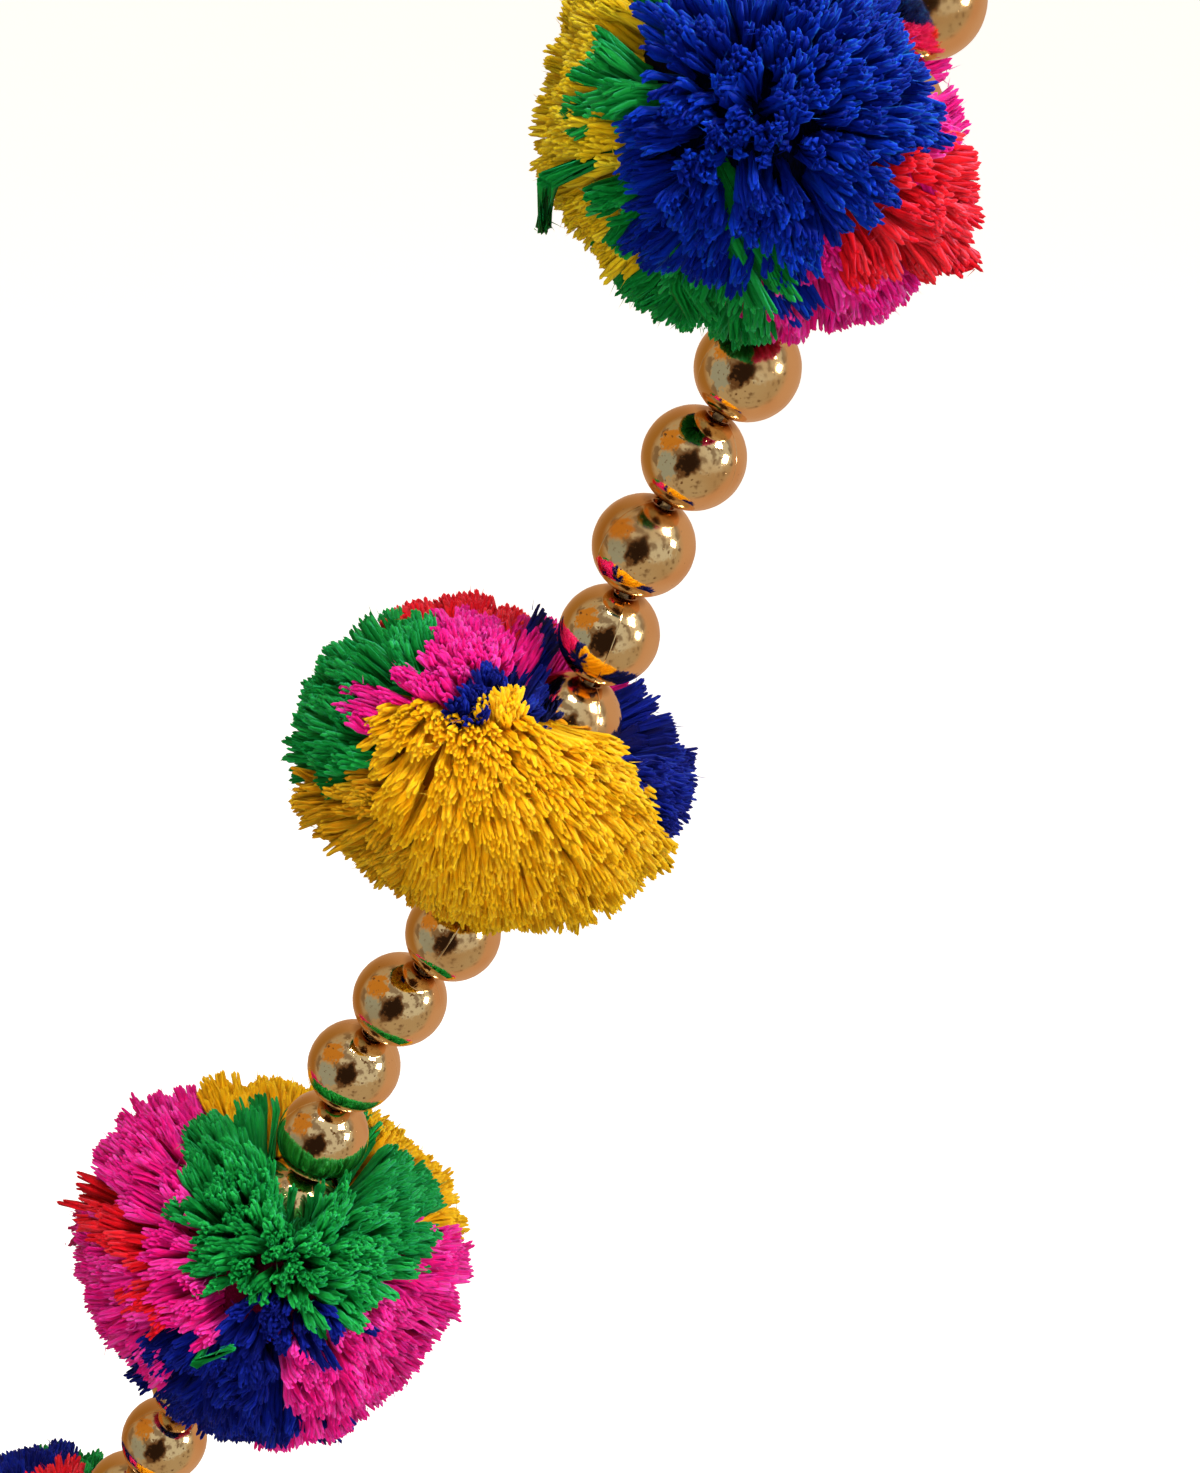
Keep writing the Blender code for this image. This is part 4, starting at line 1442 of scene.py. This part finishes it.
@dataclass
class Studio:
    """The camera, the lamps, the soft room light and the pale floor.

    The first of the patches is the lit side of the room, and the others are an ochre hanging and a
    window pane.
    """

    target: Vector = field(default_factory=lambda: Vector((-0.065, 0.0, -0.12)))
    lamps: tuple[Lamp, ...] = (
        Lamp(0.03, 0.41, 0.30, 13.5),
        Lamp(0.44, 0.23, 0.32, 10.5),
        Lamp(0.57, -0.01, 0.26, 5.0),
        Lamp(-0.06, -0.16, 0.70, 7.5, (1.0, 0.97, 0.93), 1.0, mirrored=False),
    )
    patches: tuple[Patch, ...] = (
        Patch((0.80, 0.86, 0.84), (0.42, 0.34, 0.84), 0.70, (0.78, 0.95)),
        Patch((0.72, 0.33, 0.05), (-0.73, 0.52, 0.44), 0.40, (1.09, 1.13)),
        Patch((0.42, 0.52, 0.56), (-0.88, -0.26, 0.36), 0.36, (1.08, 1.11)),
    )
    floor_drop: float = 1.0
    floor_size: float = 14.0
    wall: Colour = (0.80, 0.52, 0.35)
    wall_shade: Colour = (0.46, 0.24, 0.06)
    brass: Colour = (0.60, 0.52, 0.38)
    timber: Colour = (0.17, 0.095, 0.05)
    shadow: Colour = (0.030, 0.017, 0.012)
    backdrop: Colour = (1.0, 1.0, 1.0)

    def build_camera(self, viewpoint: np.ndarray) -> None:
        """Sets the photograph's camera.

        Args:
            viewpoint: The camera's place.
        """
        data = bpy.data.cameras.new("camera")
        data.sensor_fit, data.sensor_height, data.lens = "VERTICAL", VIEW_SENSOR, VIEW_LENS
        data.clip_start = 1 * MM
        camera = bpy.data.objects.new("camera", data)
        camera.location = Vector(viewpoint)
        camera.rotation_euler = (VIEW_TILT, 0.0, 0.0)
        bpy.context.scene.collection.objects.link(camera)
        bpy.context.scene.camera = camera

    def patched(self, bench: Bench, way: bpy.types.NodeSocket, facing: bpy.types.NodeSocket,
                fine: bpy.types.NodeSocket) -> bpy.types.NodeSocket:
        """Colours the room: a warm wall behind the strand, and a room with patches before it.

        Args:
            bench: The room's tree.
            way: The way looked.
            facing: How far that is towards the camera.
            fine: Fine grain that makes the patches ragged.

        Returns:
            The colour.
        """
        front = bench.ease(facing, -0.30, 0.05)
        across = bench.vector("DOT_PRODUCT", way, (0.9, 0.2, -0.3))
        wall = bench.mix(bench.ease(across, -0.7, 0.5), self.wall_shade, self.wall)
        masks = {patch: patch.mask(bench, way, fine) for patch in self.patches}
        lit, *others = self.patches
        colour = bench.mix(front, wall, bench.mix(masks[lit], self.brass, lit.colour))
        clouded = bench.ease(bench.noise(way, 2.3, 3.0), 0.53, 0.60)
        brown = bench.sum("MULTIPLY", clouded, bench.sum("MULTIPLY", front, 0.70))
        colour = bench.mix(brown, colour, self.timber)
        for patch in others:
            colour = bench.mix(masks[patch], colour, patch.colour)
        knots = bench.sum("MULTIPLY", bench.ease(fine, 0.62, 0.66), front)
        return bench.mix(knots, colour, self.timber)

    def blotted(self, bench: Bench, way: bpy.types.NodeSocket, facing: bpy.types.NodeSocket,
                colour: bpy.types.NodeSocket) -> bpy.types.NodeSocket:
        """Lays the ragged dark blot with its brown halo over the room, below the camera's left.

        Args:
            bench: The room's tree.
            way: The way looked.
            facing: How far that is towards the camera.
            colour: The room's colour.

        Returns:
            The colour with the blot.
        """
        slant, level = tuple(as_seen(-0.62, -0.78, 0.0)), tuple(as_seen(0.78, -0.62, 0.0))
        down = bench.sum("ADD", bench.vector("DOT_PRODUCT", way, slant), -0.34)
        down = bench.sum("DIVIDE", down, 0.46)
        aside = bench.sum("DIVIDE", bench.vector("DOT_PRODUCT", way, level), 0.34)
        spread = bench.sum("MULTIPLY_ADD", down, down, bench.sum("MULTIPLY", aside, aside))
        ragged = bench.sum("MULTIPLY_ADD", bench.noise(way, 4.2, 3.0), -3.2, spread)
        ahead = bench.ease(facing, 0.0, 0.2)
        halo = bench.sum("MULTIPLY", bench.ease(ragged, 0.2, -0.5), ahead)
        colour = bench.mix(halo, colour, self.timber)
        blot = bench.sum("MULTIPLY", bench.ease(ragged, -0.60, -0.85), ahead)
        return bench.mix(blot, colour, self.shadow)

    def build_room(self) -> None:
        """Makes the soft light of the room, which the beads mirror, and its white backdrop."""
        world = bpy.data.worlds.new("room")
        bpy.context.scene.world = world
        world.use_nodes = True
        bench = Bench(world.node_tree)
        way = bench.add("ShaderNodeTexCoord").outputs["Generated"]
        back = tuple(as_seen(*Vector((-0.10, -0.08, 1.0)).normalized()))
        facing = bench.vector("DOT_PRODUCT", way, back)
        colour = self.patched(bench, way, facing, bench.noise(way, 6.5, 3.0))
        colour = self.blotted(bench, way, facing, colour)
        seen = bench.add("ShaderNodeLightPath").outputs["Is Camera Ray"]
        colour = bench.mix(seen, colour, self.backdrop)
        shader = bench.add("ShaderNodeBackground", {"Color": colour, "Strength": 0.75})
        bench.add("ShaderNodeOutputWorld", {"Surface": shader.outputs[0]})

    def build_floor(self) -> None:
        """Lays the plain pale floor well below the strand."""
        half, drop = self.floor_size / 2, -self.floor_drop
        mesh = bpy.data.meshes.new("floor")
        corners = ((-half, -half), (half, -half), (half, half), (-half, half))
        mesh.from_pydata([(*corner, drop) for corner in corners], [], [(0, 1, 2, 3)])
        material, bench = new_material("floor_white")
        grain = bench.noise(bench.add("ShaderNodeTexCoord").outputs["Object"], 3.0, 2.0)
        colour = bench.mix(grain, (0.94, 0.94, 0.94), (0.90, 0.90, 0.90))
        shader = bench.add("ShaderNodeBsdfPrincipled", {
            "Base Color": colour, "Roughness": 1.0, "Emission Color": (1.0, 1.0, 1.0, 1.0),
            "Emission Strength": 0.62})
        bench.add("ShaderNodeOutputMaterial", {"Surface": shader.outputs[0]})
        mesh.materials.append(material)
        floor = bpy.data.objects.new("floor", mesh)
        bpy.context.scene.collection.objects.link(floor)
        floor.visible_glossy = False
        floor.visible_diffuse = False

    def build(self) -> None:
        """Lights the strand and lays the floor."""
        for number, lamp in enumerate(self.lamps):
            lamp.build(self.target, number)
        self.build_room()
        self.build_floor()
        bpy.context.scene.view_settings.view_transform = "Standard"


def main() -> None:
    """Loads the frame and builds every piece round it, in order."""
    logging.basicConfig(level=logging.INFO, format="%(name)s: %(message)s")
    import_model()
    beads = {f"bead_{run}{number + 1}": centre_of(f"bead_{run}{number + 1}")
             for run, count in RUNS.items() for number in range(count)}
    viewpoint = beads[VIEW_BEAD] + np.array(VIEW_OFFSET)

    studio = Studio()
    studio.build_camera(viewpoint)
    TwistedCord().build(beads, CordFinish().material())
    BeadString().build(beads, GoldFinish().material())
    materials = {yarn: finish.material() for yarn, finish in YARN_FINISHES.items()}
    for pompom in POMPOMS:
        pompom.settle(beads, viewpoint)
        pompom.build(materials)
    studio.build()


if __name__ == "__main__":
    main()
